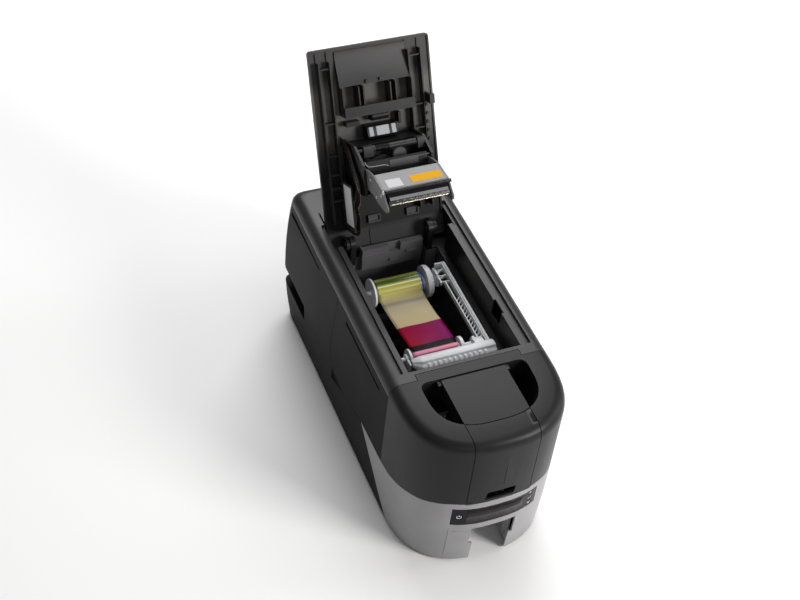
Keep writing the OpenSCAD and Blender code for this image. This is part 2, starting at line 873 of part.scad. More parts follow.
module left_frame() color([0.62, 0.63, 0.65]) {
    difference() {
        side_frame(-frame_x - frame_t);
        rod_x(8, -frame_x - frame_t - 1, -frame_x + 1, motor_y, motor_z);
        for (s = [[supply_y, supply_z], [takeup_y, takeup_z]]) {
            rod_x(stub_slot, -frame_x - frame_t - 1, -frame_x + 1, s[0], s[1]);
            span([-frame_x - frame_t - 1, s[0] - stub_slot / 2, s[1]],
                [1 - frame_x, s[0] + stub_slot / 2, far]);
        }
    }
    mirror([1, 0, 0]) frame_feet();
}

module right_frame() color([0.62, 0.63, 0.65]) {
    side_frame(frame_x);
    frame_feet();
}

module frame_rods() color([0.7, 0.7, 0.72]) {
    for (p = [[outlet_back + 6, 18], [frame_back - 8, 18], [bay_wall_y - 6, 102]])
        rod_x(6, -frame_x, frame_x, p[0], p[1]);
}

// Guide plates between the rollers, just under the card path
module card_guide() color([0.12, 0.12, 0.13]) {
    stops = [path_start_y, infeed_y - feed_r - 2, infeed_y + feed_r + 2, print_y - platen_d / 2 - 2,
        print_y + platen_d / 2 + 2, outfeed_y - feed_r - 2];
    for (i = [0 : 2 : 4])
        let (a = stops[i], b = stops[i + 1])
        side_prism([[a, path_z(a) - 2.6], [b, path_z(b) - 2.6], [b, path_z(b) - 0.8], [a, path_z(a) - 0.8]],
            2 * frame_x);
}

module roller(y, z, d, left, right, w = roller_w) {
    rod_x(shaft_d, left, right, y, z);
    rod_x(d, -w / 2, w / 2, y, z);
}

pulley_x = -frame_x - frame_t - 2.5;
pulley_w = 7;

module driven_roller(y, z, d) {
    roller(y, z, d, pulley_x - pulley_w - 1, frame_x + frame_t + 2);
    pulley(y, z);
}

module pulley(y, z) {
    rod_x(pulley_d, pulley_x - pulley_w, pulley_x, y, z);
    rod_x(pulley_d + 4, pulley_x - pulley_w, pulley_x - pulley_w + 0.8, y, z);
    rod_x(pulley_d + 4, pulley_x - 0.8, pulley_x, y, z);
}

module pick_roller() color([0.25, 0.25, 0.26]) {
    roller(pick_y, pick_z, feed_d, -frame_x - frame_t - 2, frame_x + frame_t + 2, pick_w);
}
module cleaning_roller() color([0.55, 0.2, 0.45]) {
    roller(cleaner_y, cleaner_z, feed_d, -frame_x - frame_t - 2, frame_x + frame_t + 2);
}
module infeed_roller() color([0.25, 0.25, 0.26]) driven_roller(infeed_y, infeed_z, feed_d);
module outfeed_roller() color([0.25, 0.25, 0.26]) driven_roller(outfeed_y, outfeed_z, feed_d);
module platen_roller() color([0.2, 0.2, 0.21]) driven_roller(print_y, platen_z, platen_d);

module card_flipper() color([0.16, 0.16, 0.17]) {
    mirror_copy() span([29, flipper_front, flipper_z - 9], [35, flipper_back, flipper_z + 9]);
    for (y = [flipper_front + 12, flipper_back - 12])
        rod_x(8, -30, 30, y, flipper_z - 4.4);
    rod_x(shaft_d, -frame_x - frame_t - 2, -34, flipper_y, flipper_z);
    rod_x(shaft_d, 34, frame_x + frame_t + 2, flipper_y, flipper_z);
}

module drive_motor() color([0.2, 0.2, 0.21]) {
    span([-frame_x, motor_y - 21, motor_z - 21], [-frame_x + 34, motor_y + 21, motor_z + 21]);
}

module motor_pulley() color([0.7, 0.7, 0.72]) {
    rod_x(5, pulley_x - pulley_w - 1, -frame_x - slack, motor_y, motor_z);
    pulley(motor_y, motor_z);
}

belt_t = 1.2;
belt_w = 5;

module belt_outline(r) {
    hull()
        for (p = [[infeed_y, infeed_z], [outfeed_y, outfeed_z], [motor_y, motor_z]])
            translate(p) circle(r = r, $fn = 2 * hull_fn);
}

module drive_belt() color([0.06, 0.06, 0.06]) {
    translate([pulley_x - (pulley_w + belt_w) / 2, 0, 0]) rotate([90, 0, 90]) linear_extrude(belt_w)
        difference() {
            belt_outline(pulley_d / 2 + 0.1 + belt_t);
            belt_outline(pulley_d / 2 + 0.1);
        }
}

// ---- Electronics ----

module main_board() color([0.05, 0.25, 0.14]) {
    x0 = frame_x + frame_t + 8;
    y0 = front_y + 170;
    span([x0, y0, 16], [x0 + 1.6, y0 + 190, 104]);
    for (y = [12 : 44 : 150])
        span([x0 + 1.6, y0 + y, 40], [x0 + 6, y0 + y + 24, 64]);
    for (p = [[8, 24], [182, 24], [8, 96], [182, 96]])
        rod_x(5, frame_x + frame_t, x0, y0 + p[0], p[1]);
}

supply_front = outlet_back + 18;
supply_back = motor_y - 40;
supply_top = motor_z - 2;

module power_supply() color([0.45, 0.46, 0.48]) {
    span([4 - frame_x, supply_front, floor_top], [frame_x - 4, supply_back, supply_top]);
}

module power_inlet() color([0.06, 0.06, 0.065]) {
    difference() {
        span([inlet_x - inlet_w / 2, rear_y - 30, inlet_z - inlet_h / 2],
            [inlet_x + inlet_w / 2, rear_y - 7, inlet_z + inlet_h / 2]);
        span([inlet_x - inlet_w / 2 + 2.5, rear_y - 24, inlet_z - inlet_h / 2 + 2.5],
            [inlet_x + inlet_w / 2 - 2.5, far, inlet_z + inlet_h / 2 - 2.5]);
    }
    for (x = [-7, 0, 7])
        span([inlet_x + x - 1, rear_y - 25, inlet_z - 2], [inlet_x + x + 1, rear_y - 12, inlet_z + 3]);
}

module data_sockets() color([0.6, 0.6, 0.62]) {
    difference() {
        span([socket_x - usb_w / 2, rear_y - 26, socket_z - usb_h / 2],
            [socket_x + usb_w / 2, rear_y - 8.5, socket_z + usb_h / 2]);
        span([socket_x - usb_w / 2 + 1, rear_y - 20, socket_z - usb_h / 2 + 1],
            [socket_x + usb_w / 2 - 1, far, socket_z + usb_h / 2 - 1]);
    }
    difference() {
        span([socket_x - socket_pitch - lan_w / 2, rear_y - 26, socket_z - lan_h / 2],
            [socket_x - socket_pitch + lan_w / 2, rear_y - 8.5, socket_z + lan_h / 2]);
        span([socket_x - socket_pitch - lan_w / 2 + 1.5, rear_y - 20, socket_z - lan_h / 2 + 1.5],
            [socket_x - socket_pitch + lan_w / 2 - 1.5, far, socket_z + lan_h / 2 - 1.5]);
    }
}

module cover_hinge_pins() color([0.65, 0.65, 0.67]) {
    mirror_copy() rod_x(hinge_pin_d, bracket_in, lug_in + lug_w, hinge_y, hinge_z);
}

// ---- Top cover and print head, drawn closed and swung open about the hinge ----

module swung_open() {
    translate([0, hinge_y, hinge_z]) rotate([-lid_open, 0, 0]) translate([0, -hinge_y, -hinge_z])
        children();
}

lid_front = hinge_y - lid_l;
lid_back = hinge_y + tail_l;
plate_z = lid_top_z - lid_t;
rim_z = plate_z - lid_rim;
rim_w = 2.2;
lid_corner_r = 4;
lug_in = bracket_out + 0.6;
lug_w = 4.6;
rib_t = 1.6;
rib_z = deck_z - 9;
rib_xs = [-69, -55, 47, 63];
inner_front = max(bay_y + 1.2, lid_front + rim_w + 5);
panel_left = -45.6;
panel_right = rib_xs[2] - rib_t / 2;
panel_back = inner_front + 32.6;
wall_y = inner_front + 67;
carrier_in = 43;
carrier_out = 46;
carrier_front = hinge_y - 130;
carrier_back = hinge_y - 72;
carrier_z = deck_z - 67;
seat_z = carrier_z + 6.5;

module top_cover() color([0.12, 0.12, 0.13]) swung_open() {
    // Plate with rounded corners and a rim
    difference() {
        translate([0, 0, rim_z]) linear_extrude(lid_top_z - rim_z) lid_outline(0);
        translate([0, 0, rim_z - 1]) linear_extrude(plate_z - rim_z + 1) lid_outline(rim_w);
    }
    // Hinge lugs
    mirror_copy() difference() {
        union() {
            rod_x(15, lug_in, lug_in + lug_w, hinge_y, hinge_z);
            span([lug_in, hinge_y - 7.5, hinge_z], [lug_in + lug_w, hinge_y + 7.5, plate_z + eps]);
        }
        rod_x(hinge_pin_d + 2 * run_gap, lug_in - 1, lug_in + lug_w + 1, hinge_y, hinge_z);
    }
    // Smooth pad on the tail
    span([-22, hinge_y - 9, plate_z - 1], [43, lid_back - rim_w + eps, plate_z + eps]);
}

module lid_outline(inset) {
    r = max(0.5, lid_corner_r - inset);
    hx = lid_half - inset;
    y0 = lid_front + inset;
    polygon(concat([[hx, lid_back - inset], [-hx, lid_back - inset]],
        [for (t = [180 : 15 : 270]) [r - hx + r * cos(t), y0 + r + r * sin(t)]],
        [for (t = [270 : 15 : 360]) [hx - r + r * cos(t), y0 + r + r * sin(t)]]));
}

module cover_ribs() color([0.1, 0.1, 0.105]) swung_open() {
    for (x = rib_xs) {
        span([x - rib_t / 2, lid_front + rim_w + 2, rim_z + 0.2],
            [x + rib_t / 2, inner_front + eps, plate_z]);
        span([x - rib_t / 2, inner_front, rib_z], [x + rib_t / 2, hinge_y - 26, plate_z]);
    }
    // Cross ribs over the side strips
    for (y = [76, 117, 141, 158, 174])
        span([rib_xs[0], bay_y + y, rib_z + 2], [rib_xs[1], bay_y + y + rib_t, plate_z]);
    for (y = [8, 70, 100, 130, 160])
        span([rib_xs[2], bay_y + y, rib_z + 2], [rib_xs[3], bay_y + y + rib_t, plate_z]);
    span([rib_xs[0], bay_y + 8, rib_z + 2], [rib_xs[1], bay_y + 8 + rib_t, plate_z]);
    // Compartments behind the smooth panel
    span([panel_left, wall_y, deck_z - 21], [panel_right, wall_y + rib_t, plate_z]);
    for (x = [-24, -18, 17, 24])
        span([x - rib_t / 2, panel_back + slack, deck_z - 17], [x + rib_t / 2, wall_y + eps, plate_z]);
    for (x = [panel_left, panel_right - rib_t])
        span([x, panel_back + slack, deck_z - 17], [x + rib_t, wall_y + eps, plate_z]);
    span([panel_left, wall_y - 11, deck_z - 21], [panel_right, wall_y + eps, deck_z - 19.4]);
    // Deep plate beside the head carrier
    span([rib_xs[1] - rib_t / 2, hinge_y - 82, deck_z - 43],
        [rib_xs[1] + rib_t / 2, hinge_y - 22, plate_z]);
    // Bosses along the right rail
    for (y = [latch_y - 5 : 11 : hinge_y - 90])
        span([rib_xs[3] + rib_t / 2 - eps, y, rib_z - 2], [rib_xs[3] + rib_t / 2 + 2.8, y + 3, rib_z + 6]);
}

module cover_panel() color([0.2, 0.2, 0.21]) swung_open() {
    span([panel_left, lid_front + rim_w + 3, rim_z + 0.1], [panel_right, inner_front + eps, plate_z]);
    side_span([[inner_front, rim_z + 0.1], [inner_front, plate_z], [panel_back, plate_z],
        [panel_back, deck_z - 8]], panel_left, panel_right);
    // Two small catches on its rear edge
    for (x = [-12, 6])
        span([x, panel_back - 5, deck_z - 10], [x + 3, panel_back - 1, deck_z - 6]);
}

module side_span(outline, x0, x1) {
    translate([x0, 0, 0]) rotate([90, 0, 90]) linear_extrude(x1 - x0) polygon(outline);
}

module cover_latch() color([0.12, 0.12, 0.13]) swung_open() {
    y0 = latch_y - latch_l + 5;
    y1 = latch_y - 6;
    span([hook_in, y0, deck_z - 20], [hook_in + 3, y1, plate_z]);
    span([hook_in + 3 - eps, y0, deck_z - 20], [hook_out, y1, deck_z - 16]);
    span([rib_xs[3] + rib_t / 2, y0 + 3, deck_z - 6], [hook_in + eps, y1 - 3, plate_z]);
}

module cover_sticker() color([0.93, 0.93, 0.92]) swung_open()
    span([rib_xs[1] - rib_t / 2 - label_t, hinge_y - 79, deck_z - 41],
        [rib_xs[1] - rib_t / 2, hinge_y - 28, deck_z - 15.5]);

clip_w = 16.5;
clip_t = 1.5;

// Square loops at the hinge end of the cover
module cover_clips() color([0.75, 0.75, 0.77]) swung_open() {
    for (x = [-23, 29])
        difference() {
            span([x, hinge_y - 27, plate_z - 4], [x + clip_w, hinge_y - 17, plate_z]);
            span([x + clip_t, hinge_y - 27 + clip_t, plate_z - 5],
                [x + clip_w - clip_t, hinge_y - 17 - clip_t, plate_z - 1.5]);
        }
}

module head_carrier() color([0.07, 0.07, 0.075]) swung_open() {
    mirror_copy() side_span([[carrier_front, plate_z], [carrier_front, carrier_z + 26],
        [carrier_front + 18, carrier_z], [carrier_back - 6, carrier_z], [carrier_back, carrier_z + 8],
        [carrier_back, deck_z - 30], [carrier_back + 16, deck_z - 20], [carrier_back + 16, plate_z]],
        carrier_in, carrier_out);
    // Cross members
    span([-carrier_in - eps, carrier_front + 4, deck_z - 30],
        [carrier_in + eps, carrier_front + 7, plate_z]);
    span([-carrier_in - eps, carrier_front + 7, deck_z - 30],
        [carrier_in + eps, carrier_back, deck_z - 27.5]);
    span([-carrier_in - eps, carrier_front + 30, head_top + 15],
        [carrier_in + eps, carrier_front + 33, deck_z - 29]);
    span([-carrier_in - eps, carrier_back - 2, carrier_z + 4],
        [carrier_in + eps, carrier_back, deck_z - 29]);
    // Seat that the head springs push against
    span([-38.6, carrier_back - 42, carrier_z + 4], [38.6, carrier_back - 2 + eps, seat_z]);
    rod_x(5, -carrier_in - eps, carrier_in + eps, carrier_front + 6, carrier_z + 22);
}

bracket_x0 = 40.4;
bracket_x1 = carrier_in - slack;
head_top = carrier_z - 2;
sink_top = print_z + 34;
head_travel = 1;

// Side plates of the print head with their curved noses
module head_bracket() color([0.5, 0.5, 0.51]) swung_open() {
    mirror_copy() side_span([[print_y - 28.5, head_top + 12], [print_y - 6, head_top + 12],
        [print_y - 2, print_z + 44], [print_y + 6, print_z + 26], [print_y + 11, print_z + 3],
        [print_y + 8.5, print_z - 2], [print_y + 4, print_z - 2.8], [print_y - 4, print_z + 3],
        fold_low, fold_high, [print_y - 28.5, print_z + 50]], bracket_x0, bracket_x1);
}

// Lower and upper edge of the slanted face
fold_low = [print_y - 15, print_z + 9];
fold_high = [print_y - 27, print_z + 38];

// Folded sheet that faces forward and down
module head_plate() color([0.55, 0.56, 0.58]) swung_open() {
    back = fold_high + [6, 2];
    side_span([fold_low, fold_high, back, back + [0.3, -1.2], fold_high + [1.3, -0.9], fold_low + [1.2,
        0.5]],
        -bracket_x0, bracket_x0);
}

label_t = 0.12;

// Label between two shares of the slanted face's height
module label_on_plate(x0, x1, s0, s1) {
    along = fold_high - fold_low;
    out = [-along[1], along[0]] / norm(along) * label_t;
    low = fold_low + along * s0;
    high = fold_low + along * s1;
    side_span([low, high, high + out, low + out], x0, x1);
}

module head_labels() color([0.95, 0.62, 0.05]) swung_open() {
    label_on_plate(-33, -14, 0.1, 0.58);
    label_on_plate(-2, 37, 0.16, 0.58);
}

module print_head() color([0.1, 0.1, 0.1]) swung_open() {
    // Heat sink
    span([-36, print_y - 14, print_z + 12], [36, print_y + 5.5, sink_top]);
    // Ceramic strip that ends on the print line
    side_span([[print_y - 12.4, print_z + 6.4], [print_y - 4, print_z + 1.2],
        [print_y + 1.5, print_z + 0.5],
        [print_y + 2.4, print_z + 3.4], [print_y + 2.4, print_z + 12 + eps],
            [print_y - 12, print_z + 12 + eps]],
        -38.6, 38.6);
    // Guide roller bar ahead of the strip
    rod_x(5, -bracket_x0, bracket_x0, print_y - 13.3, print_z + 5.6);
}

module head_springs() color([0.7, 0.7, 0.7]) swung_open() {
    for (x = [-24, 24])
        translate([x, print_y - 4, sink_top])
            cylinder(d = 9, h = carrier_z + 4 - sink_top - head_travel - slack);
}

// ---- Ribbon cassette, spools and film ----

rail_in = 42;
rail_mid = 50;
rail_out = 60;
cheek_t = 4;
bar_left = -46;
bar_y0 = takeup_y - 36.7;
bar_y1 = takeup_y - 13.7;
bar_top = deck_z - 30;

module ribbon_cassette() color([0.74, 0.75, 0.77]) {
    // Front bar with a rounded grip
    side_span([[bar_y0, bar_top - 12], [bar_y0 + 3, bar_top - 5], [bar_y0 + 8, bar_top - 1],
        [bar_y0 + 14, bar_top], [bar_y1, bar_top - 2], [bar_y1, bar_top - 17], [bar_y0 + 6, bar_top - 17]],
        bar_left, rail_out);
    for (i = [0 : 11])
        side_span([[bar_y0 - 0.8, bar_top - 11.5], [bar_y0 + 2.4, bar_top - 4.2],
            [bar_y0 + 8, bar_top - 0.1],
            [bar_y0 + 8, bar_top - 8],
                [bar_y0 + 4, bar_top - 12]], bar_left + 14 + 6.6 * i, bar_left + 17 + 6.6 * i);
    difference() {
        union() {
            // Right rail, widened over the supply spool and behind the bar
            span([rail_mid, bar_y1 - 2, deck_z - 51], [rail_out, supply_y + 8, deck_z - 39]);
            span([rail_in, supply_y - 8, deck_z - 51], [rail_mid + eps, supply_y + 8, deck_z - 39]);
            span([rail_in, bar_y1 - 2, deck_z - 51], [rail_mid + eps, bar_y1 + 14, deck_z - 36]);
            // Cheeks for the two spools
            span([rail_in, supply_y - 13, supply_z - 12], [rail_in + cheek_t, supply_y + 8, deck_z - 39]);
            span([rail_in, takeup_y - 10, takeup_z - 9], [rail_in + cheek_t, takeup_y + 12, takeup_z + 9]);
        }
        rod_x(stub_d + 2 * run_gap, rail_in - 1, rail_in + cheek_t + 1, supply_y, supply_z);
        rod_x(stub_d + 2 * run_gap, rail_in - 1, rail_in + cheek_t + 1, takeup_y, takeup_z);
        // Windows in the rail
        for (y = [0 : 22 : 66])
            span([rail_mid + 2, takeup_y + 24 + y, 0], [rail_out - 4, takeup_y + 40 + y, far]);
    }
    // Left cheek for the take-up spool
    difference() {
        span([bar_left, bar_y1 - 2, takeup_z - 9], [bar_left + 3, takeup_y + 7, takeup_z + 6]);
        rod_x(stub_d + 2 * run_gap, bar_left - 1, bar_left + 4, takeup_y, takeup_z);
    }
}

film_left = film_x - film_w / 2;
film_right = film_x + film_w / 2;
stub_left = -frame_x - frame_t - 0.5;
stub_right = rail_in + cheek_t;
core_d = 18;
takeup_core_d = 12;

module spool(y, z, left_d, right_d, core, left_x, right_x, flange_w) {
    rod_x(stub_d, stub_left, stub_right, y, z);
    rod_x(core, left_x, right_x, y, z);
    rod_x(left_d, left_x, left_x + 2.4, y, z);
    rod_x(right_d, right_x, right_x + flange_w, y, z);
}

module supply_spool() color([0.78, 0.79, 0.8]) {
    spool(supply_y, supply_z, flange_d - 5, flange_d, core_d, film_left - 6, film_right + 7, 5);
    rod_x(flange_d - 10, film_right + 12 - eps, film_right + 16, supply_y, supply_z);
}

module takeup_spool() color([0.78, 0.79, 0.8]) {
    spool(takeup_y, takeup_z, takeup_d + 5, takeup_d + 6, takeup_core_d, film_left - 5, film_right + 3, 4);
}

module supply_roll() color([0.85, 0.8, 0.25])
    ring_x(supply_d, core_d + 2 * slack, film_left, film_right, supply_y, supply_z);

module takeup_roll() color([0.85, 0.4, 0.6])
    ring_x(takeup_d, takeup_core_d + 2 * slack, film_left, film_right, takeup_y, takeup_z);

film_t = 0.2;

// The slack film leaves the front of the supply roll and runs onto the top of the take-up roll
module ribbon_film() color([0.8, 0.1, 0.4]) {
    r0 = takeup_d / 2 + run_gap;
    r1 = supply_d / 2 + run_gap;
    leave = [supply_y - r1, supply_z + 3];
    d = leave - [takeup_y, takeup_z];
    tilt = atan2(d[1], d[0]) + acos(r0 / norm(d));
    n = [cos(tilt), sin(tilt)];
    land = [takeup_y, takeup_z] + n * r0;
    side_span([land, leave, leave + n * film_t, land + n * film_t], film_left, film_right);
}

// Screws that hold the frames' foot flanges to the floor
module case_screws() color([0.6, 0.6, 0.62]) {
    for (x = [-screw_x, screw_x], y = screw_ys)
        translate([x, y, 0]) {
            translate([0, 0, floor_z]) cylinder(d = screw_d, h = floor_t + foot_flange_t + eps);
            translate([0, 0, floor_top + foot_flange_t]) cylinder(d = 2 * screw_d, h = 1.8);
        }
}

base_tray();
rubber_feet();
left_side_cover();
right_side_cover();
rear_cover();
deck_cover();
front_cowl();
front_fascia();
display_lens();
display_module();
card_outlet();
front_door();
door_hinge_pins();
flap_hinge_pins();
hopper_flap();
hopper_liner();
card_hopper();
power_button();
up_button();
down_button();
enter_button();
bay_liner();
rear_bay_panel();
left_frame();
right_frame();
frame_rods();
card_guide();
pick_roller();
infeed_roller();
cleaning_roller();
platen_roller();
outfeed_roller();
card_flipper();
drive_motor();
motor_pulley();
drive_belt();
main_board();
power_supply();
power_inlet();
data_sockets();
cover_hinge_pins();
top_cover();
cover_ribs();
cover_panel();
cover_latch();
cover_sticker();
cover_clips();
head_carrier();
head_bracket();
head_plate();
head_labels();
print_head();
head_springs();
ribbon_cassette();
supply_spool();
supply_roll();
takeup_spool();
takeup_roll();
ribbon_film();
case_screws();
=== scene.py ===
import itertools
import json
import math

import bmesh
import bpy
from mathutils import Matrix, Vector
from mathutils.bvhtree import BVHTree


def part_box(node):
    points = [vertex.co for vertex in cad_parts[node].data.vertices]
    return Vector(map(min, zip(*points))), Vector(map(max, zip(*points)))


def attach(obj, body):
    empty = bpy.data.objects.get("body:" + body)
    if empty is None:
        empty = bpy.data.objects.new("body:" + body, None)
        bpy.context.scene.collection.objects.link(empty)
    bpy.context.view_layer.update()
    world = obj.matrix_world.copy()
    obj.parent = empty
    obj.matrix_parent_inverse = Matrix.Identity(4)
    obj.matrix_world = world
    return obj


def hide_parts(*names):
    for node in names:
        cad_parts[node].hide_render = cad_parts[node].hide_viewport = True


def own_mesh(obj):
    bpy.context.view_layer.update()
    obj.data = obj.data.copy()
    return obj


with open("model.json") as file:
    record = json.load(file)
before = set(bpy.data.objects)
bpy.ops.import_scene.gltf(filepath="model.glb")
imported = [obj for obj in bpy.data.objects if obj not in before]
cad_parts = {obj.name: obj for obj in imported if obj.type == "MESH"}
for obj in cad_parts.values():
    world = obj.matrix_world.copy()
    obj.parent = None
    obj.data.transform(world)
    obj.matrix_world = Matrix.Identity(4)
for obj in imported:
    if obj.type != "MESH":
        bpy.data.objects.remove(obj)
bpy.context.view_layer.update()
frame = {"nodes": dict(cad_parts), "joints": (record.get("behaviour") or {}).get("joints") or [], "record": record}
nodes = frame["nodes"]
scene = bpy.context.scene

cover_hinge = next(joint for joint in frame["joints"] if joint["name"] == "cover_hinge")
HINGE = Vector(cover_hinge["pos_m"])
# Turns the closed cover to where it stands at rest, open
SWING = (Matrix.Translation(HINGE)
         @ Matrix.Rotation(math.radians(cover_hinge["range_deg"][0]), 4, "X")
         @ Matrix.Translation(-HINGE))

# ---- Camera, light and floor ----

CAMERA_PLACE = (-0.5871, -1.0807, 1.4533)
CAMERA_TURN_DEG = (46.476, -5.003, -21.928)
SENSOR_MM = 36.0
LENS_MM = 65.34
SHIFT_Y = -0.0748

AIM = Vector((0.0, 0.0, 0.15))
WHITE = (1.0, 1.0, 1.0)
WARM_WHITE = (1.0, 0.985, 0.97)
SKY_STRENGTH = 0.12
# Name, place, width, height, watts and colour of each lamp
SOFTBOXES = (
    ("key", (1.3, -1.6, 1.3), 0.8, 0.8, 40, WARM_WHITE),
    ("behind", (0.45, 1.5, 1.6), 1.5, 0.9, 34, WHITE),
    ("overhead", (0.1, 0.2, 2.2), 1.2, 1.2, 14, WHITE),
    ("right", (1.8, -0.3, 0.9), 0.7, 1.3, 8, WHITE),
    ("front", (-0.5, -2.2, 1.2), 1.0, 0.6, 3, WHITE),
)
FLOOR_HALF = 6.0
FLOOR_COLOUR = (0.92, 0.92, 0.92)
FLOOR_ROUGHNESS = 0.9


def add_camera():
    data = bpy.data.cameras.new("camera")
    data.sensor_width = SENSOR_MM
    data.lens = LENS_MM
    data.shift_y = SHIFT_Y
    data.clip_start = 0.05
    data.clip_end = 30.0
    camera = bpy.data.objects.new("camera", data)
    camera.location = CAMERA_PLACE
    camera.rotation_euler = [math.radians(a) for a in CAMERA_TURN_DEG]
    scene.collection.objects.link(camera)
    scene.camera = camera


def add_softbox(name, place, width, height, watts, colour):
    data = bpy.data.lights.new(name, "AREA")
    data.shape = "RECTANGLE"
    data.size = width
    data.size_y = height
    data.energy = watts
    data.color = colour
    light = bpy.data.objects.new(name, data)
    light.location = place
    light.rotation_euler = (AIM - Vector(place)).to_track_quat("-Z", "Y").to_euler()
    scene.collection.objects.link(light)


def add_studio():
    world = bpy.data.worlds.new("studio")
    world.use_nodes = True
    background = world.node_tree.nodes["Background"]
    background.inputs["Color"].default_value = (*WHITE, 1.0)
    background.inputs["Strength"].default_value = SKY_STRENGTH
    scene.world = world
    scene.view_settings.view_transform = "Standard"
    for softbox in SOFTBOXES:
        add_softbox(*softbox)


def add_floor():
    mesh = bpy.data.meshes.new("floor")
    corners = [(x * FLOOR_HALF, y * FLOOR_HALF, 0) for x, y in ((-1, -1), (1, -1), (1, 1), (-1, 1))]
    mesh.from_pydata(corners, [], [(0, 1, 2, 3)])
    floor = bpy.data.objects.new("floor", mesh)
    scene.collection.objects.link(floor)
    paper, _, shader = new_material("floor_paper")
    shader.inputs["Base Color"].default_value = (*FLOOR_COLOUR, 1.0)
    shader.inputs["Roughness"].default_value = FLOOR_ROUGHNESS
    mesh.materials.append(paper)


# ---- Materials: noise scales are per metre, bump depths and places in metres ----

NOISE_RANGE = (0.3, 0.7)
TONE_SCALE = 14.0
BAND_DEPTH = 0.00005
# Painted shadow: the black line across the film
SHADOW_BLACK = (0.004, 0.004, 0.004)
CHARCOAL = (0.026, 0.0253, 0.0275)
COVER_CHARCOAL = (0.03, 0.0288, 0.0295)
LABEL_WHITE = (0.5, 0.5, 0.52)
LABEL_AMBER = (0.6, 0.3, 0.0)
# Ends of the colour ramps along an axis
FILM_Y = (-0.062, 0.056)
PURPLE_X = (-0.036, 0.018)
LABEL_X = (-0.04, 0.04)
COVER_Z = (0.18, 0.4)
# The outer face of the cover, along the open cover's normal from the hinge
COVER_SKIN = (0.0172, 0.0176)


def new_material(name="finish"):
    material = bpy.data.materials.new(name)
    material.use_nodes = True
    tree = material.node_tree
    return material, tree, tree.nodes["Principled BSDF"]


def noise_node(tree, scale, detail=3.0, stretch=(1.0, 1.0, 1.0)):
    """Noise over the shared frame."""
    place = tree.nodes.new("ShaderNodeTexCoord")
    mapping = tree.nodes.new("ShaderNodeMapping")
    mapping.inputs["Scale"].default_value = stretch
    noise = tree.nodes.new("ShaderNodeTexNoise")
    noise.inputs["Scale"].default_value = scale
    noise.inputs["Detail"].default_value = detail
    tree.links.new(place.outputs["Object"], mapping.inputs["Vector"])
    tree.links.new(mapping.outputs["Vector"], noise.inputs["Vector"])
    return noise.outputs["Fac"]


def map_range(tree, value, from_low, from_high, low=0.0, high=1.0):
    node = tree.nodes.new("ShaderNodeMapRange")
    for name, number in (("From Min", from_low), ("From Max", from_high), ("To Min", low), ("To Max", high)):
        node.inputs[name].default_value = number
    tree.links.new(value, node.inputs["Value"])
    return node.outputs["Result"]


def spread(tree, noise, low=0.0, high=1.0):
    """The usual range of a noise carried onto low..high."""
    return map_range(tree, noise, *NOISE_RANGE, low, high)


def place_along(tree, axis, low, high):
    """0 to 1 between two places along one axis of the shared frame."""
    place = tree.nodes.new("ShaderNodeTexCoord")
    split = tree.nodes.new("ShaderNodeSeparateXYZ")
    tree.links.new(place.outputs["Object"], split.inputs["Vector"])
    return map_range(tree, split.outputs[axis], low, high)


def mix_colours(tree, factor, first, second):
    """Mixes two colours, each a tuple or the output of a node."""
    node = tree.nodes.new("ShaderNodeMix")
    node.data_type = "RGBA"
    tree.links.new(factor, node.inputs["Factor"])
    for name, colour in (("A", first), ("B", second)):
        if isinstance(colour, tuple):
            node.inputs[name].default_value = (*colour, 1.0)
        else:
            tree.links.new(colour, node.inputs[name])
    return node.outputs["Result"]


def ramp(tree, factor, stops):
    """A colour ramp through (position, colour) stops."""
    node = tree.nodes.new("ShaderNodeValToRGB")
    node.color_ramp.interpolation = "LINEAR"
    elements = node.color_ramp.elements
    elements[0].position, elements[0].color = stops[0][0], (*stops[0][1], 1.0)
    elements[1].position, elements[1].color = stops[-1][0], (*stops[-1][1], 1.0)
    for position, colour in stops[1:-1]:
        element = elements.new(position)
        element.color = (*colour, 1.0)
    tree.links.new(factor, node.inputs["Fac"])
    return node.outputs["Color"]


def add_bump(tree, shader, height, depth):
    bump = tree.nodes.new("ShaderNodeBump")
    bump.inputs["Distance"].default_value = depth
    bump.inputs["Strength"].default_value = 1.0
    tree.links.new(height, bump.inputs["Height"])
    tree.links.new(bump.outputs["Normal"], shader.inputs["Normal"])


def tint(colour, share):
    return tuple(min(1.0, c * share) for c in colour)


def add_grain(tree, shader, fine, roughness, depth):
    """Roughness over a (low, high) range and bump, both from one noise."""
    tree.links.new(spread(tree, fine, *roughness), shader.inputs["Roughness"])
    add_bump(tree, shader, fine, depth)


def add_tone(tree, shader, cloud, dark, light):
    """Colour that wanders between two tones with a noise."""
    tree.links.new(mix_colours(tree, spread(tree, cloud), dark, light), shader.inputs["Base Color"])


def moulded(colour, roughness, grain=2600.0, depth=0.00002, vary=0.1, shine=0.3):
    """Moulded plastic or print: fine grain, slightly uneven tone and gloss."""
    material, tree, shader = new_material()
    add_tone(tree, shader, noise_node(tree, TONE_SCALE), tint(colour, 1 - vary), tint(colour, 1 + vary))
    add_grain(tree, shader, noise_node(tree, grain, detail=2.0), (roughness - 0.05, roughness + 0.05), depth)
    shader.inputs["Specular IOR Level"].default_value = shine
    return material


def metal(colour, roughness, stretch=(1.0, 1.0, 1.0)):
    """Metal, with fine drawn or ground lines along one axis where the noise is stretched."""
    material, tree, shader = new_material()
    lines = noise_node(tree, scale=900.0, stretch=stretch)
    add_tone(tree, shader, lines, tint(colour, 0.9), tint(colour, 1.08))
    add_grain(tree, shader, lines, (roughness - 0.06, roughness + 0.08), depth=0.000004)
    shader.inputs["Metallic"].default_value = 1.0
    return material


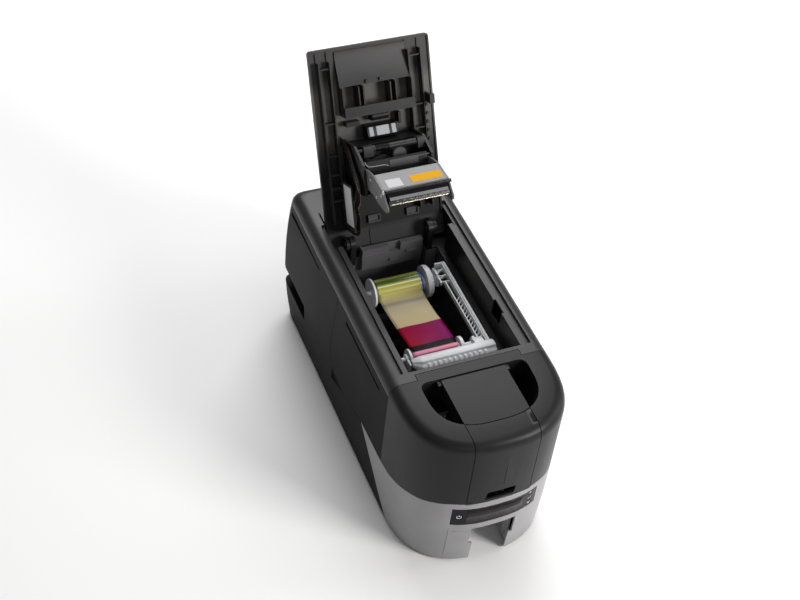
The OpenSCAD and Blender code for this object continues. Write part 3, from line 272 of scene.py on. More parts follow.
def rubber(colour):
    material, tree, shader = new_material()
    fine = noise_node(tree, scale=1800.0, detail=4.0)
    add_tone(tree, shader, fine, tint(colour, 0.8), colour)
    add_grain(tree, shader, fine, roughness=(0.7, 0.9), depth=0.00003)
    return material


def glossy(colour, roughness, shine=0.5):
    """Polished plastic with a faint orange peel."""
    material, tree, shader = new_material()
    cloud = noise_node(tree, scale=60.0)
    add_tone(tree, shader, cloud, colour, tint(colour, 1.25))
    add_grain(tree, shader, cloud, (roughness - 0.03, roughness + 0.03), depth=0.00001)
    shader.inputs["Specular IOR Level"].default_value = shine
    return material


def film_material():
    """Dye panels along the film: used pink, a black line of painted shadow, magenta that turns purple, then clear
    tan with a dark band of painted shadow where the slack film dips.
    """
    material, tree, shader = new_material()
    along = place_along(tree, "Y", *FILM_Y)
    # The black stops from 0.07 to 0.148 are painted shadow across the film
    pink = [(0.0, (0.7, 0.2, 0.33)), (0.06, (0.78, 0.3, 0.42)), (0.07, SHADOW_BLACK), (0.148, SHADOW_BLACK)]
    # The dark tan stop at 0.87 is painted shadow where the slack film dips
    tan = [(0.485, (0.52, 0.43, 0.24)), (0.7, (0.58, 0.49, 0.3)), (0.82, (0.5, 0.44, 0.31)),
           (0.87, (0.3, 0.26, 0.19)), (0.91, (0.46, 0.4, 0.24)), (1.0, (0.5, 0.46, 0.12))]
    magenta = ramp(tree, along, pink + [(0.157, (0.3, 0.0, 0.012)), (0.477, (0.27, 0.0, 0.03))] + tan)
    purple = ramp(tree, along, pink + [(0.157, (0.16, 0.0, 0.09)), (0.477, (0.2, 0.0, 0.08))] + tan)
    across = place_along(tree, "X", *PURPLE_X)
    tree.links.new(mix_colours(tree, across, magenta, purple), shader.inputs["Base Color"])
    add_grain(tree, shader, noise_node(tree, scale=40.0), roughness=(0.42, 0.55), depth=0.0003)
    shader.inputs["Specular IOR Level"].default_value = 0.12
    return material


def band_noise(tree):
    """Fine bands round a roll of film, drawn out along its axis."""
    return noise_node(tree, scale=260.0, detail=2.0, stretch=(0.02, 1.0, 1.0))


def takeup_material():
    """Wound magenta film."""
    material, tree, shader = new_material()
    bands = band_noise(tree)
    add_tone(tree, shader, bands, (0.5, 0.1, 0.2), (0.7, 0.2, 0.35))
    add_bump(tree, shader, bands, BAND_DEPTH)
    shader.inputs["Roughness"].default_value = 0.16
    shader.inputs["Metallic"].default_value = 0.35
    return material


def supply_material():
    """Wound yellow film, with a painted green reflection and a painted white highlight line along the roll."""
    material, tree, shader = new_material()
    low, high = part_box("supply_roll")
    across = place_along(tree, "Y", low.y, high.y)
    yellow, painted_green_reflection, olive = (0.42, 0.39, 0.07), (0.06, 0.12, 0.02), (0.3, 0.31, 0.07)
    painted_highlight = (0.85, 0.85, 0.6)
    # Painted highlight line near 0.295, then painted green reflection from 0.4 to 0.56, blended into the yellow
    # with olive
    colours = ramp(tree, across, [(0.0, yellow), (0.26, yellow), (0.295, painted_highlight), (0.325, yellow), (0.35, olive),
                                  (0.4, painted_green_reflection), (0.56, painted_green_reflection), (0.62, olive), (0.8, yellow), (1.0, olive)])
    tree.links.new(colours, shader.inputs["Base Color"])
    add_grain(tree, shader, band_noise(tree), roughness=(0.18, 0.28), depth=BAND_DEPTH)
    return material


def label_material():
    """The print head's two labels: white on the left, amber on the right."""
    material, tree, shader = new_material()
    along = place_along(tree, "X", *LABEL_X)
    colours = ramp(tree, along, [(0.0, LABEL_WHITE), (0.39, LABEL_WHITE), (0.41, LABEL_AMBER), (1.0, LABEL_AMBER)])
    tree.links.new(colours, shader.inputs["Base Color"])
    add_grain(tree, shader, noise_node(tree, scale=700.0), roughness=(0.42, 0.56), depth=0.00001)
    shader.inputs["Specular IOR Level"].default_value = 0.05
    return material


def skin_material():
    """Cover shell: charcoal outside; inside, black painted shade above the hinge and a lighter painted reflection
    in the compartments.
    """
    material, tree, shader = new_material()
    up = place_along(tree, "Z", *COVER_Z)
    top_edge = (0.045, 0.043, 0.043)
    # Painted shade from 0.125 to 0.42 above the hinge, painted reflection from 0.64 to 0.84 in the compartments
    inside_shade_and_reflection = ramp(tree, up, [(0.0, COVER_CHARCOAL), (0.11, COVER_CHARCOAL), (0.125, (0.006, 0.006, 0.006)),
                             (0.42, (0.008, 0.008, 0.008)), (0.51, COVER_CHARCOAL), (0.64, (0.1, 0.094, 0.088)),
                             (0.84, (0.12, 0.112, 0.1)), (0.91, top_edge), (1.0, top_edge)])
    place = tree.nodes.new("ShaderNodeTexCoord")
    depth = tree.nodes.new("ShaderNodeVectorMath")
    depth.operation = "DOT_PRODUCT"
    normal = SWING.to_3x3() @ Vector((0.0, 0.0, 1.0))
    depth.inputs[1].default_value = normal
    tree.links.new(place.outputs["Object"], depth.inputs[0])
    hinge_depth = HINGE.dot(normal)
    outside = map_range(tree, depth.outputs["Value"], *(hinge_depth + skin for skin in COVER_SKIN))
    tree.links.new(mix_colours(tree, outside, inside_shade_and_reflection, COVER_CHARCOAL), shader.inputs["Base Color"])
    add_grain(tree, shader, noise_node(tree, scale=2200.0, detail=2.0), roughness=(0.38, 0.48), depth=0.00002)
    shader.inputs["Specular IOR Level"].default_value = 0.25
    return material


def build_materials():
    made = {
        "black_plastic": moulded(CHARCOAL, 0.4),
        # side_black, front_black and flap_black are darker copies of the black plastic: painted shade on the
        # sides, base, rear, front cowl, door and flap
        "side_black": moulded((0.014, 0.0138, 0.0146), 0.5, shine=0.04),
        "front_black": moulded((0.017, 0.0168, 0.018), 0.36, shine=0.16),
        "flap_black": moulded((0.018, 0.0178, 0.019), 0.42, shine=0.16),
        "inner_black": moulded((0.011, 0.011, 0.0115), 0.42, grain=1900.0),
        "cover_black": moulded((0.023, 0.022, 0.0225), 0.36, grain=2200.0),
        "cover_skin": skin_material(),
        "bay_panel": moulded((0.12, 0.118, 0.124), 0.4),
        "grey_plastic": moulded((0.33, 0.325, 0.335), 0.42),
        "light_grey_plastic": moulded((0.72, 0.735, 0.76), 0.32, grain=2200.0, depth=0.00001, vary=0.06),
        "head_grey": moulded((0.125, 0.125, 0.13), 0.32, grain=900.0),
        "gear_grey": moulded((0.06, 0.06, 0.062), 0.4),
        "strip_grey": moulded((0.2, 0.2, 0.21), 0.3, grain=1200.0),
        "pad_grey": moulded((0.42, 0.43, 0.45), 0.3, grain=1200.0),
        "blue_plastic": moulded((0.015, 0.07, 0.42), 0.35),
        "circuit_board": moulded((0.006, 0.035, 0.018), 0.3, grain=500.0),
        "dull_label": moulded((0.7, 0.7, 0.72), 0.5, grain=900.0, depth=0.00001, vary=0.04),
        "mark_white": moulded((0.85, 0.85, 0.87), 0.5, grain=900.0, depth=0.000005, vary=0.03),
        "head_label": label_material(),
        "lamp_black": glossy((0.005, 0.005, 0.005), 0.2, shine=0.4),
        "lens_black": glossy((0.008, 0.007, 0.009), 0.16, shine=0.14),
        "smoked_screen": glossy((0.024, 0.02, 0.022), 0.14, shine=0.14),
        "cable_brown": glossy((0.03, 0.02, 0.017), 0.25),
        "rubber": rubber((0.02, 0.02, 0.02)),
        "roller_rubber": rubber((0.03, 0.03, 0.032)),
        "cleaning_rubber": rubber((0.28, 0.06, 0.2)),
        "steel": metal((0.62, 0.62, 0.63), 0.24, stretch=(1.0, 0.05, 0.05)),
        "steel_sheet": metal((0.5, 0.5, 0.51), 0.34, stretch=(0.06, 1.0, 1.0)),
        "dark_metal": metal((0.05, 0.05, 0.055), 0.4),
        "edge_metal": metal((0.85, 0.74, 0.6), 0.2),
        "dye_film": film_material(),
        "magenta_film": takeup_material(),
        "supply_film": supply_material(),
    }
    for name, material in made.items():
        material.name = name
    return made


# Nodes whose finish is finer than their slot's
FINISHES = {
    "inner_black": ("bay_liner", "hopper_liner", "card_hopper", "card_guide", "card_flipper", "head_carrier",
                    "flap_hinge_pins"),
    "side_black": ("left_side_cover", "right_side_cover", "base_tray", "rear_cover"),
    "cover_black": ("cover_ribs", "cover_panel", "cover_latch"),
    "cover_skin": ("top_cover",),
    "bay_panel": ("rear_bay_panel",),
    "head_grey": ("head_plate", "head_bracket"),
    "front_black": ("front_cowl", "front_door"),
    "flap_black": ("hopper_flap",),
    "lens_black": ("display_lens", "power_button", "up_button", "enter_button", "down_button"),
    "dull_label": ("cover_sticker",),
    "gear_grey": ("cover_clips",),
    "lamp_black": ("print_head",),
    "supply_film": ("supply_roll",),
    "head_label": ("head_labels",),
}
THIN_NODES = ("ribbon_film", "head_labels", "cover_sticker", "case_screws", "drive_belt")
THIN_BEVEL, NODE_BEVEL = 0.0001, 0.0004
NODE_BEVEL_DEG, PIECE_BEVEL_DEG = 28, 35
WELD = 0.00001


def shade_smooth(mesh):
    for face in mesh.polygons:
        face.use_smooth = True


def add_bevel(piece, width, angle_deg):
    bevel = piece.modifiers.new("bevel", "BEVEL")
    bevel.width = width
    bevel.segments = 2
    bevel.limit_method = "ANGLE"
    bevel.angle_limit = math.radians(angle_deg)
    bevel.harden_normals = True


def soften(node):
    """Welded smooth faces and small bevels, as modifiers over the CAD mesh."""
    bpy.context.view_layer.objects.active = node
    if node.data.has_custom_normals:
        with bpy.context.temp_override(object=node, active_object=node):
            bpy.ops.mesh.customdata_custom_splitnormals_clear()
    shade_smooth(node.data)
    node.modifiers.new("weld", "WELD").merge_threshold = WELD
    add_bevel(node, THIN_BEVEL if node.name in THIN_NODES else NODE_BEVEL, NODE_BEVEL_DEG)


def dress_nodes():
    """Gives every CAD node its material and softens its edges."""
    finish = {part["node"]: part["material_slot"] for part in frame["record"]["subparts"]}
    finish.update({name: key for key, names in FINISHES.items() for name in names})
    for name, node in nodes.items():
        node.data.materials.clear()
        node.data.materials.append(materials[finish[name]])
        soften(node)


# ---- Pieces drawn in millimetres, those of the cover with the cover closed ----

MM = 0.001
COVER_BODIES = ("top_cover", "print_head")
BOX_FACES = ((0, 1, 3, 2), (4, 6, 7, 5), (0, 4, 5, 1), (2, 3, 7, 6), (0, 2, 6, 4), (1, 5, 7, 3))
COIL_STEPS = 16
# A pan head from its outer edge inwards, as shares of (height, radius), and its bore in mm
PAN_HEAD = ((0.0, 1.0), (0.55, 1.0), (1.0, 0.72), (1.0, 0.3), (0.5, 0.25))
PAN_BORE = 0.05


def add_piece(name, mesh, finish, body, bevel=0.15, thickness=0.0):
    """Finishes a bmesh drawn in millimetres as a piece that rides on a body."""
    bmesh.ops.recalc_face_normals(mesh, faces=mesh.faces)
    mesh.transform(Matrix.Scale(MM, 4))
    if body in COVER_BODIES:
        mesh.transform(SWING)
    data = bpy.data.meshes.new(name)
    mesh.to_mesh(data)
    mesh.free()
    shade_smooth(data)
    data.materials.append(materials[finish])
    piece = bpy.data.objects.new(name, data)
    scene.collection.objects.link(piece)
    if thickness:
        solid = piece.modifiers.new("thickness", "SOLIDIFY")
        solid.thickness = thickness * MM
        solid.offset = 0.0
    if bevel:
        add_bevel(piece, bevel * MM, PIECE_BEVEL_DEG)
    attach(piece, body)
    return piece


def box_mm(node):
    low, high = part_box(node)
    return low / MM, high / MM


def join_rings(mesh, rings):
    """A closed skin over rings of vertices, with the two end rings filled."""
    for near, far in zip(rings, rings[1:]):
        for k in range(len(near)):
            mesh.faces.new((near[k - 1], near[k], far[k], far[k - 1]))
    mesh.faces.new(rings[0])
    mesh.faces.new(rings[-1][::-1])


def join_rows(mesh, rows):
    """An open sheet over rows of vertices."""
    for near, far in zip(rows, rows[1:]):
        for k in range(len(near) - 1):
            mesh.faces.new((near[k], near[k + 1], far[k + 1], far[k]))


def add_block(mesh, points):
    """A block over eight corners, in the order that BOX_FACES counts."""
    corners = [mesh.verts.new(point) for point in points]
    for face in BOX_FACES:
        mesh.faces.new([corners[i] for i in face])


def add_box(mesh, low, high):
    add_block(mesh, itertools.product(*zip(low, high)))


def add_slat(mesh, start, end, width, height):
    """A slanted bar between two points, level across."""
    start, end = Vector(start), Vector(end)
    across = (end - start).cross(Vector((0, 0, 1))).normalized() * width / 2
    up = Vector((0, 0, height / 2))
    add_block(mesh, [point + side + rise for point in (start, end) for side in (-across, across)
                     for rise in (-up, up)])


def add_prism(mesh, outline, x0, x1):
    """A solid between two X planes over a (y, z) outline."""
    join_rings(mesh, [[mesh.verts.new((x, y, z)) for y, z in outline] for x in (x0, x1)])


def add_lathe(mesh, profile, y, z, sides=48, teeth=0, tooth=0.0):
    """Turns a closed loop of (x, radius) points about the X axis through (y, z)."""
    rings = []
    for x, radius in profile:
        ring = []
        for i in range(sides):
            turn = 2 * math.pi * i / sides
            grown = radius + (tooth if teeth and i * teeth * 2 // sides % 2 else 0.0)
            ring.append(mesh.verts.new((x, y + grown * math.cos(turn), z + grown * math.sin(turn))))
        rings.append(ring)
    for k in range(len(rings)):
        near, far = rings[k - 1], rings[k]
        for i in range(sides):
            mesh.faces.new((near[i - 1], near[i], far[i], far[i - 1]))


def add_bush(mesh, x0, x1, bore, radius, y, z, sides=48, teeth=0, tooth=0.0):
    """A ring between two X planes."""
    add_lathe(mesh, [(x0, bore), (x0, radius), (x1, radius), (x1, bore)], y, z, sides, teeth, tooth)


def add_screw(mesh, x, y, z, radius, height, side):
    """A pan head with a round recess, facing along X."""
    outline = [(x + side * height * up, radius * out) for up, out in PAN_HEAD]
    add_lathe(mesh, [(x, PAN_BORE), *outline, (outline[-1][0], PAN_BORE)], y, z, sides=24)


def add_gear(mesh, x, y, z, radius, height, teeth=0, tooth=0.0):
    """A disc about a Z axis, with teeth where it has any."""
    sides = teeth * 4 if teeth else 24
    rings = []
    for level in (z, z + height):
        ring = []
        for i in range(sides):
            turn = 2 * math.pi * i / sides
            grown = radius + (tooth if i % 4 < 2 else 0.0)
            ring.append(mesh.verts.new((x + grown * math.cos(turn), y + grown * math.sin(turn), level)))
        rings.append(ring)
    join_rings(mesh, rings)


def add_wire(mesh, points, radius, sides=10, across=(0, 0, 1)):
    """A round wire along a list of points, closed at both ends. Across is a direction it never takes."""
    path = [Vector(point) for point in points]
    rings = []
    for i, point in enumerate(path):
        ahead = (path[min(i + 1, len(path) - 1)] - path[max(i - 1, 0)]).normalized()
        side = ahead.cross(Vector(across)).normalized()
        up = side.cross(ahead)
        rings.append([mesh.verts.new(point + radius * (math.cos(a) * side + math.sin(a) * up))
                      for a in (2 * math.pi * k / sides for k in range(sides))])
    join_rings(mesh, rings)


def smooth_path(points, steps=8):
    """A Catmull-Rom curve through the points."""
    path = [Vector(point) for point in points]
    padded = [2 * path[0] - path[1], *path, 2 * path[-1] - path[-2]]
    result = []
    for a, b, c, d in zip(padded, padded[1:], padded[2:], padded[3:]):
        for k in range(steps):
            t = k / steps
            result.append(0.5 * (2 * b + (c - a) * t + (2 * a - 5 * b + 4 * c - d) * t * t
                                 + (3 * b - a - 3 * c + d) * t ** 3))
    result.append(path[-1])
    return result


def rounded(corners, radius, steps=4):
    """The (y, z) outline with each corner rounded."""
    outline = []
    count = len(corners)
    for i, corner in enumerate(corners):
        here = Vector(corner)
        back = (Vector(corners[i - 1]) - here)
        ahead = (Vector(corners[(i + 1) % count]) - here)
        cut = min(radius, back.length * 0.45, ahead.length * 0.45)
        start, end = here + back.normalized() * cut, here + ahead.normalized() * cut
        for k in range(steps + 1):
            t = k / steps
            outline.append(tuple((1 - t) ** 2 * start + 2 * t * (1 - t) * here + t * t * end))
    return outline


def coil(start, turns, pitch, radius, upright=False):
    """Points of a spring from the start along X, or along Z where it is upright."""
    points = []
    for i in range(turns * COIL_STEPS + 1):
        turn = 2 * math.pi * i / COIL_STEPS
        along = pitch * i / COIL_STEPS
        round_y, round_z = radius * math.cos(turn), radius * math.sin(turn)
        offset = (round_y, round_z, along) if upright else (along, round_y, round_z)
        points.append([a + b for a, b in zip(start, offset)])
    return points


# ---- Ribbon cassette, spools and film ----


def roll_axis(node):
    """Radius of a roll and the (y, z) of its axis."""
    low, high = box_mm(node)
    return (high.z - low.z) / 2, (low.y + high.y) / 2, (low.z + high.z) / 2


supply_r, supply_y, supply_z = roll_axis("supply_roll")
takeup_r, takeup_y, takeup_z = roll_axis("takeup_roll")
film_left, film_right = (corner.x for corner in box_mm("supply_roll"))
FILM_COLUMNS = 12
FILM_LIFT = 0.25
FILM_RIPPLE = 0.35
FILM_THICKNESS = 0.12


def along_roll(y, z, radius, angles):
    """Where the film lies on a roll, at angles in degrees."""
    reach = radius + FILM_LIFT
    return [(y + reach * math.cos(math.radians(a)), z + reach * math.sin(math.radians(a))) for a in angles]


def draw_film():
    """Slack film from the front of the supply roll to the top of the take-up roll."""
    slack = [(supply_y - supply_r - 2.6, supply_z + 0.1), (supply_y - 32, supply_z + 0.2),
             (supply_y - 56, supply_z + 3.4), (takeup_y + 42, takeup_z + 2.0), (takeup_y + 22, takeup_z + 6.2)]
    route = (along_roll(supply_y, supply_z, supply_r, (150, 163, 176)) + slack
             + along_roll(takeup_y, takeup_z, takeup_r, (80, 100, 120)))
    curve = smooth_path([(0, y, z) for y, z in route], steps=7)
    mesh = bmesh.new()
    rows = []
    for i, point in enumerate(curve):
        free = math.sin(math.pi * i / (len(curve) - 1))
        row = []
        for k in range(FILM_COLUMNS + 1):
            share = k / FILM_COLUMNS
            ripple = FILM_RIPPLE * free * math.sin(9.0 * share + 0.11 * point.y)
            x = film_left + share * (film_right - film_left)
            row.append(mesh.verts.new((x, point.y, point.z + ripple)))
        rows.append(row)
    join_rows(mesh, rows)
    piece = add_piece("dye_film_web", mesh, "dye_film", "ribbon_cassette", bevel=0,
                      thickness=FILM_THICKNESS)
    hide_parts("ribbon_film")
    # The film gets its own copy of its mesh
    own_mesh(piece)


CORE_R = 9.3
RIM_TEETH, RIM_TOOTH = 30, 1.1


def draw_spool_details():
    """Core ring at the end of the roll and the toothed rim of the right flange."""
    core = bmesh.new()
    add_bush(core, film_right + 0.4, film_right + 2.6, CORE_R, supply_r - 0.8, supply_y, supply_z, sides=64)
    add_piece("supply_core_ring", core, "blue_plastic", "supply_spool")
    flange_r, _, _ = roll_axis("supply_spool")
    face = film_right + 12
    rim = bmesh.new()
    add_bush(rim, face, face + 3.4, flange_r - 4.9, flange_r - 3.6, supply_y, supply_z, sides=120,
             teeth=RIM_TEETH, tooth=RIM_TOOTH)
    add_lathe(rim, [(face - 0.1, flange_r - 1.4), (face - 0.1, flange_r - 0.1), (face + 0.9, flange_r - 0.3),
                    (face + 0.9, flange_r - 1.2)], supply_y, supply_z, sides=96)
    add_piece("supply_gear_rim", rim, "light_grey_plastic", "supply_spool")


cassette_low, cassette_high = box_mm("ribbon_cassette")
cassette_left, cassette_right = cassette_low.x, cassette_high.x
bar_front, bar_top = cassette_low.y + 0.8, cassette_high.z
bar_back = bar_front + 23
rail_z, rail_end = bar_top - 9, supply_y + 8
ridge_x, inner_x = cassette_right - 5.6, cassette_right - 16.6
flange_front = supply_y - 19
# Outlines in (y, z) from the bar's front and top
GRIP = ((1.5, -12.5), (5.2, -5.2), (9.6, -3.2), (11, -0.6), (18, 0), (23, -2.8), (23, -17), (5, -17))
GRIP_MIDDLE = (13, -8)
BAR_BLOCK = ((20, -16), (20, -4), (29, -5.5), (35, -8), (35, -16))
# Distance from the bar's end, size of the outline there and how far back it is shifted
GRIP_LEFT = ((0.2, 0.4, 5.0), (5, 0.72, 2.6), (10, 0.97, 0.3), (11.5, 1.0, 0.0))
GRIP_RIGHT = ((3.5, 1.0, 0.0), (1.2, 0.96, 0.0), (0.2, 0.86, 0.0))
RIBS, RIB_START, RIB_PITCH, RIB_WIDTH = 12, 16, 6.6, 3.4
BRACES, BRACE_PITCH, BRACE_SLANT = 5, 5.2, 3.6
FINS, FIN_PITCH, FIN_SLANT = 12, 6.1, 5.0
EYE_BORE, EYE_R, ARM_EYE_R = 3.3, 6.6, 6.4


def from_bar(outline):
    return [(bar_front + y, bar_top + z) for y, z in outline]


def add_grip(mesh):
    """The grip bar, which tapers towards its ends, with finger ribs on its sloping face."""
    grip = rounded(from_bar(GRIP), radius=1.7)
    middle_y, middle_z = bar_front + GRIP_MIDDLE[0], bar_top + GRIP_MIDDLE[1]
    slices = ([(cassette_left + reach, size, shift) for reach, size, shift in GRIP_LEFT]
              + [(cassette_right - reach, size, shift) for reach, size, shift in GRIP_RIGHT])
    join_rings(mesh, [[mesh.verts.new((x, middle_y + (y - middle_y) * size + shift,
                                       middle_z + (z - middle_z) * size)) for y, z in grip]
                      for x, size, shift in slices])
    for i in range(RIBS):
        x = cassette_left + RIB_START + RIB_PITCH * i
        # A wide low layer and a narrow high one make each rib's crest
        for inset, shrink in ((0.0, 0.9), (0.7, 0.0)):
            rib = from_bar([(shrink - 0.6, -12.0), (shrink + 2.4, -4.4), (shrink + 7.2, -1.5 - shrink * 0.6),
                            (11, -4), (6, -13)])
            add_prism(mesh, rounded(rib, radius=1.4, steps=3), x + inset, x + RIB_WIDTH - inset)


def add_rail(mesh):
    """Slim ridge of the rail, its lower flange, the lattice between them and the latch at the end."""
    add_box(mesh, (ridge_x, bar_back - 2, rail_z - 9), (cassette_right - 0.4, rail_end, rail_z))
    add_box(mesh, (ridge_x + 1.4, bar_back - 2, rail_z), (cassette_right - 1.6, rail_end, rail_z + 1.6))
    add_box(mesh, (inner_x, flange_front, rail_z - 11), (inner_x + 2.2, rail_end, rail_z - 6.5))
    add_box(mesh, (inner_x + 5, bar_back, rail_z - 12), (inner_x + 6.6, flange_front, rail_z - 5))
    for i in range(BRACES):
        y = supply_y + 4 - BRACE_PITCH * i
        slant = BRACE_SLANT if i % 2 else -BRACE_SLANT
        add_slat(mesh, (inner_x + 0.8, y, rail_z - 8.6), (ridge_x + 0.8, y + slant, rail_z - 5.4),
                 width=1.7, height=3.2)
    for i in range(FINS):
        y = bar_back + 12 + FIN_PITCH * i
        add_slat(mesh, (inner_x + 5.6, y, rail_z - 9), (ridge_x + 0.8, y + FIN_SLANT, rail_z - 4.6),
                 width=1.3, height=3.0)
    add_prism(mesh, rounded([(rail_end - 1, rail_z - 9), (rail_end - 1, rail_z + 0.6),
                             (rail_end + 1.6, rail_z + 0.6), (rail_end + 1.6, rail_z - 6)], radius=0.8),
              inner_x + 2, cassette_right - 1)


def add_cheeks(mesh):
    """Bearing eyes of the two spools, on legs below the rail and on a hooked arm on the left."""
    for y, z, reach, drop in ((supply_y, supply_z, 11.5, 2.0), (takeup_y, takeup_z, 9.5, 1.0)):
        add_bush(mesh, inner_x - 1.2, inner_x + 2.6, EYE_BORE, EYE_R, y, z, sides=40)
        for side in (-1, 1):
            leg = [(y + side * 4.9, z - 7), (y + side * reach, z - 5 + drop),
                   (y + side * (reach - 3), rail_z - 6), (y + side * 4.9, rail_z - 6)]
            add_prism(mesh, rounded(leg, radius=1.2), inner_x - 0.6, inner_x + 2.4)
        add_prism(mesh, [(y - 5.2, z + 6.0), (y - 5.2, rail_z - 5), (y + 5.2, rail_z - 5), (y + 5.2, z + 6.0)],
                  inner_x - 0.6, inner_x + 2.4)
    add_bush(mesh, cassette_left + 0.1, cassette_left + 2.9, EYE_BORE, ARM_EYE_R, takeup_y, takeup_z, sides=40)
    arm = [(bar_back - 3, takeup_z - 8), (bar_back - 3, takeup_z + 6), (takeup_y - 4.8, takeup_z + 5.2),
           (takeup_y - 4.8, takeup_z - 5.2)]
    add_prism(mesh, rounded(arm, radius=1.5), cassette_left + 0.2, cassette_left + 2.8)


def draw_cassette():
    mesh = bmesh.new()
    add_grip(mesh)
    add_rail(mesh)
    add_prism(mesh, rounded(from_bar(BAR_BLOCK), radius=1.6), inner_x - 5, inner_x + 7)
    add_cheeks(mesh)
    piece = add_piece("cassette_frame", mesh, "light_grey_plastic", "ribbon_cassette",
                      bevel=0.3)
    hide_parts("ribbon_cassette")


# ---- Machinery in the open cover ----

DECK_Z = 217.0
CARRIER_SEAT = 154.0
hinge_y = HINGE.y / MM
carrier_front, carrier_roof = hinge_y - 130, DECK_Z - 29.9
print_y, print_z = hinge_y - 77.9, DECK_Z - 127

HEAD_SIDE = 42.7
# Places in (y, z) from the print line
HEAD_SCREWS = ((-20, 45), (-8, 14), (-2, 30))
ROD_END = (-13.3, 5.6)
HEAD_STRIP = ((-7.4, 1.6), (-4.0, -0.2), (-3.5, 0.8), (-6.9, 2.6))
HEAD_EDGE = (1.6, 0.8)
STRIP_HALF = 37
EDGE_HALF, EDGE_STEP, EDGE_R = 38, 4, 0.8
CHIPS, CHIP_START, CHIP_PITCH = 8, -30, 8.1


def from_print_line(places):
    return [(print_y + y, print_z + z) for y, z in places]


def draw_head_details():
    """Screws, rod ends, strip, bright edge and chips of the print head."""
    screws = bmesh.new()
    for side in (-1, 1):
        for y, z in from_print_line(HEAD_SCREWS):
            add_screw(screws, side * HEAD_SIDE, y, z, radius=1.9, height=0.9, side=side)
        for y, z in from_print_line([ROD_END]):
            add_screw(screws, side * HEAD_SIDE, y, z, radius=2.6, height=1.4, side=side)
    add_piece("head_screws", screws, "steel", "print_head", bevel=0.1)
    strip = bmesh.new()
    add_prism(strip, from_print_line(HEAD_STRIP), -STRIP_HALF, STRIP_HALF)
    add_piece("head_strip", strip, "strip_grey", "print_head", bevel=0.1)
    edge = bmesh.new()
    add_wire(edge, [(x, y, z) for x in range(-EDGE_HALF, EDGE_HALF + 1, EDGE_STEP)
                    for y, z in from_print_line([HEAD_EDGE])], EDGE_R, sides=16, across=(0, 1, 0))
    add_piece("head_edge", edge, "edge_metal", "print_head", bevel=0)
    chips = bmesh.new()
    for i in range(CHIPS):
        x = CHIP_START + CHIP_PITCH * i
        add_box(chips, (x, print_y - 2.6, print_z - 0.06), (x + 3 + i % 3, print_y - 1.4, print_z + 0.4))
    add_piece("head_chips", chips, "strip_grey", "print_head", bevel=0)


COIL_X, COIL_TURNS, COIL_R, COIL_WIRE = 24, 9, 3.9, 0.55
COIL_FOOT, COIL_GAP = 34, 1.6


def draw_head_coils():
    """The two springs that press the head down, up to the seat of the carrier."""
    mesh = bmesh.new()
    foot = print_z + COIL_FOOT
    length = CARRIER_SEAT - foot - COIL_GAP
    pitch = (length - 2 * COIL_WIRE) / COIL_TURNS
    for x in (-COIL_X, COIL_X):
        start = (x, print_y - 4, foot + COIL_WIRE)
        add_wire(mesh, coil(start, COIL_TURNS, pitch, COIL_R, upright=True), COIL_WIRE, sides=8)
    piece = add_piece("head_coils", mesh, "steel", "print_head", bevel=0)
    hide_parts("head_springs")


shaft_y, shaft_z = carrier_front + 6, DECK_Z - 45
SHAFT_BORE = 2.7
# Ends in x of the bearing blocks, and of the collar and the sleeve with their radii
BLOCKS = ((-37, -24), (33, 42.6))
SLEEVES = ((-23.6, -21, 4.4), (-3.4, 32.6, 4.0))
SPRING_START, SPRING_TURNS, SPRING_PITCH, SPRING_R, SPRING_WIRE = -20.6, 11, 1.5, 3.7, 0.5


def draw_shaft():
    """The carrier's shaft: bearing blocks, collar, sleeve and spring."""
    blocks = bmesh.new()
    block = rounded([(shaft_y - 5, shaft_z - 5), (shaft_y - 5, shaft_z + 6), (shaft_y + 2, carrier_roof),
                     (shaft_y + 9, carrier_roof), (shaft_y + 9, shaft_z - 5)], radius=1.8)
    for x0, x1 in BLOCKS:
        add_prism(blocks, block, x0, x1)
    for x0, x1, radius in SLEEVES:
        add_bush(blocks, x0, x1, SHAFT_BORE, radius, shaft_y, shaft_z, sides=32)
    add_piece("carrier_blocks", blocks, "cover_black", "top_cover", bevel=0.4)
    spring = bmesh.new()
    turns = coil((SPRING_START, shaft_y, shaft_z), SPRING_TURNS, SPRING_PITCH, SPRING_R)
    add_wire(spring, turns, SPRING_WIRE, sides=8, across=(1, 0, 0))
    add_piece("shaft_spring", spring, "dark_metal", "top_cover", bevel=0)


GEAR_X, GEAR_Y, GEAR_Z = 9.0, 3.0, DECK_Z - 50
GEAR_R, GEAR_HEIGHT, GEAR_TEETH, GEAR_TOOTH = 8.0, 3.6, 22, 0.9
POST_R = 3.0
# Ends in x and back edge of the bridge's two plates, which share a front edge
BRIDGE_PLATES = ((-10.5, 27, 13.4), (27.2, 42.4, 6.2))
BRIDGE_FRONT = 4.4
GUARD_ROUTE = ((-41.8, 1.5), (-40.4, 5), (-37, 7.8), (-30, 8.6), (-22, 8.7), (-16, 9.3), (-11.5, 11))
GUARD_DROP, GUARD_R = 0.45, 0.5
WIRES, WIRE_PITCH, WIRE_R = 3, 2.1, 0.8


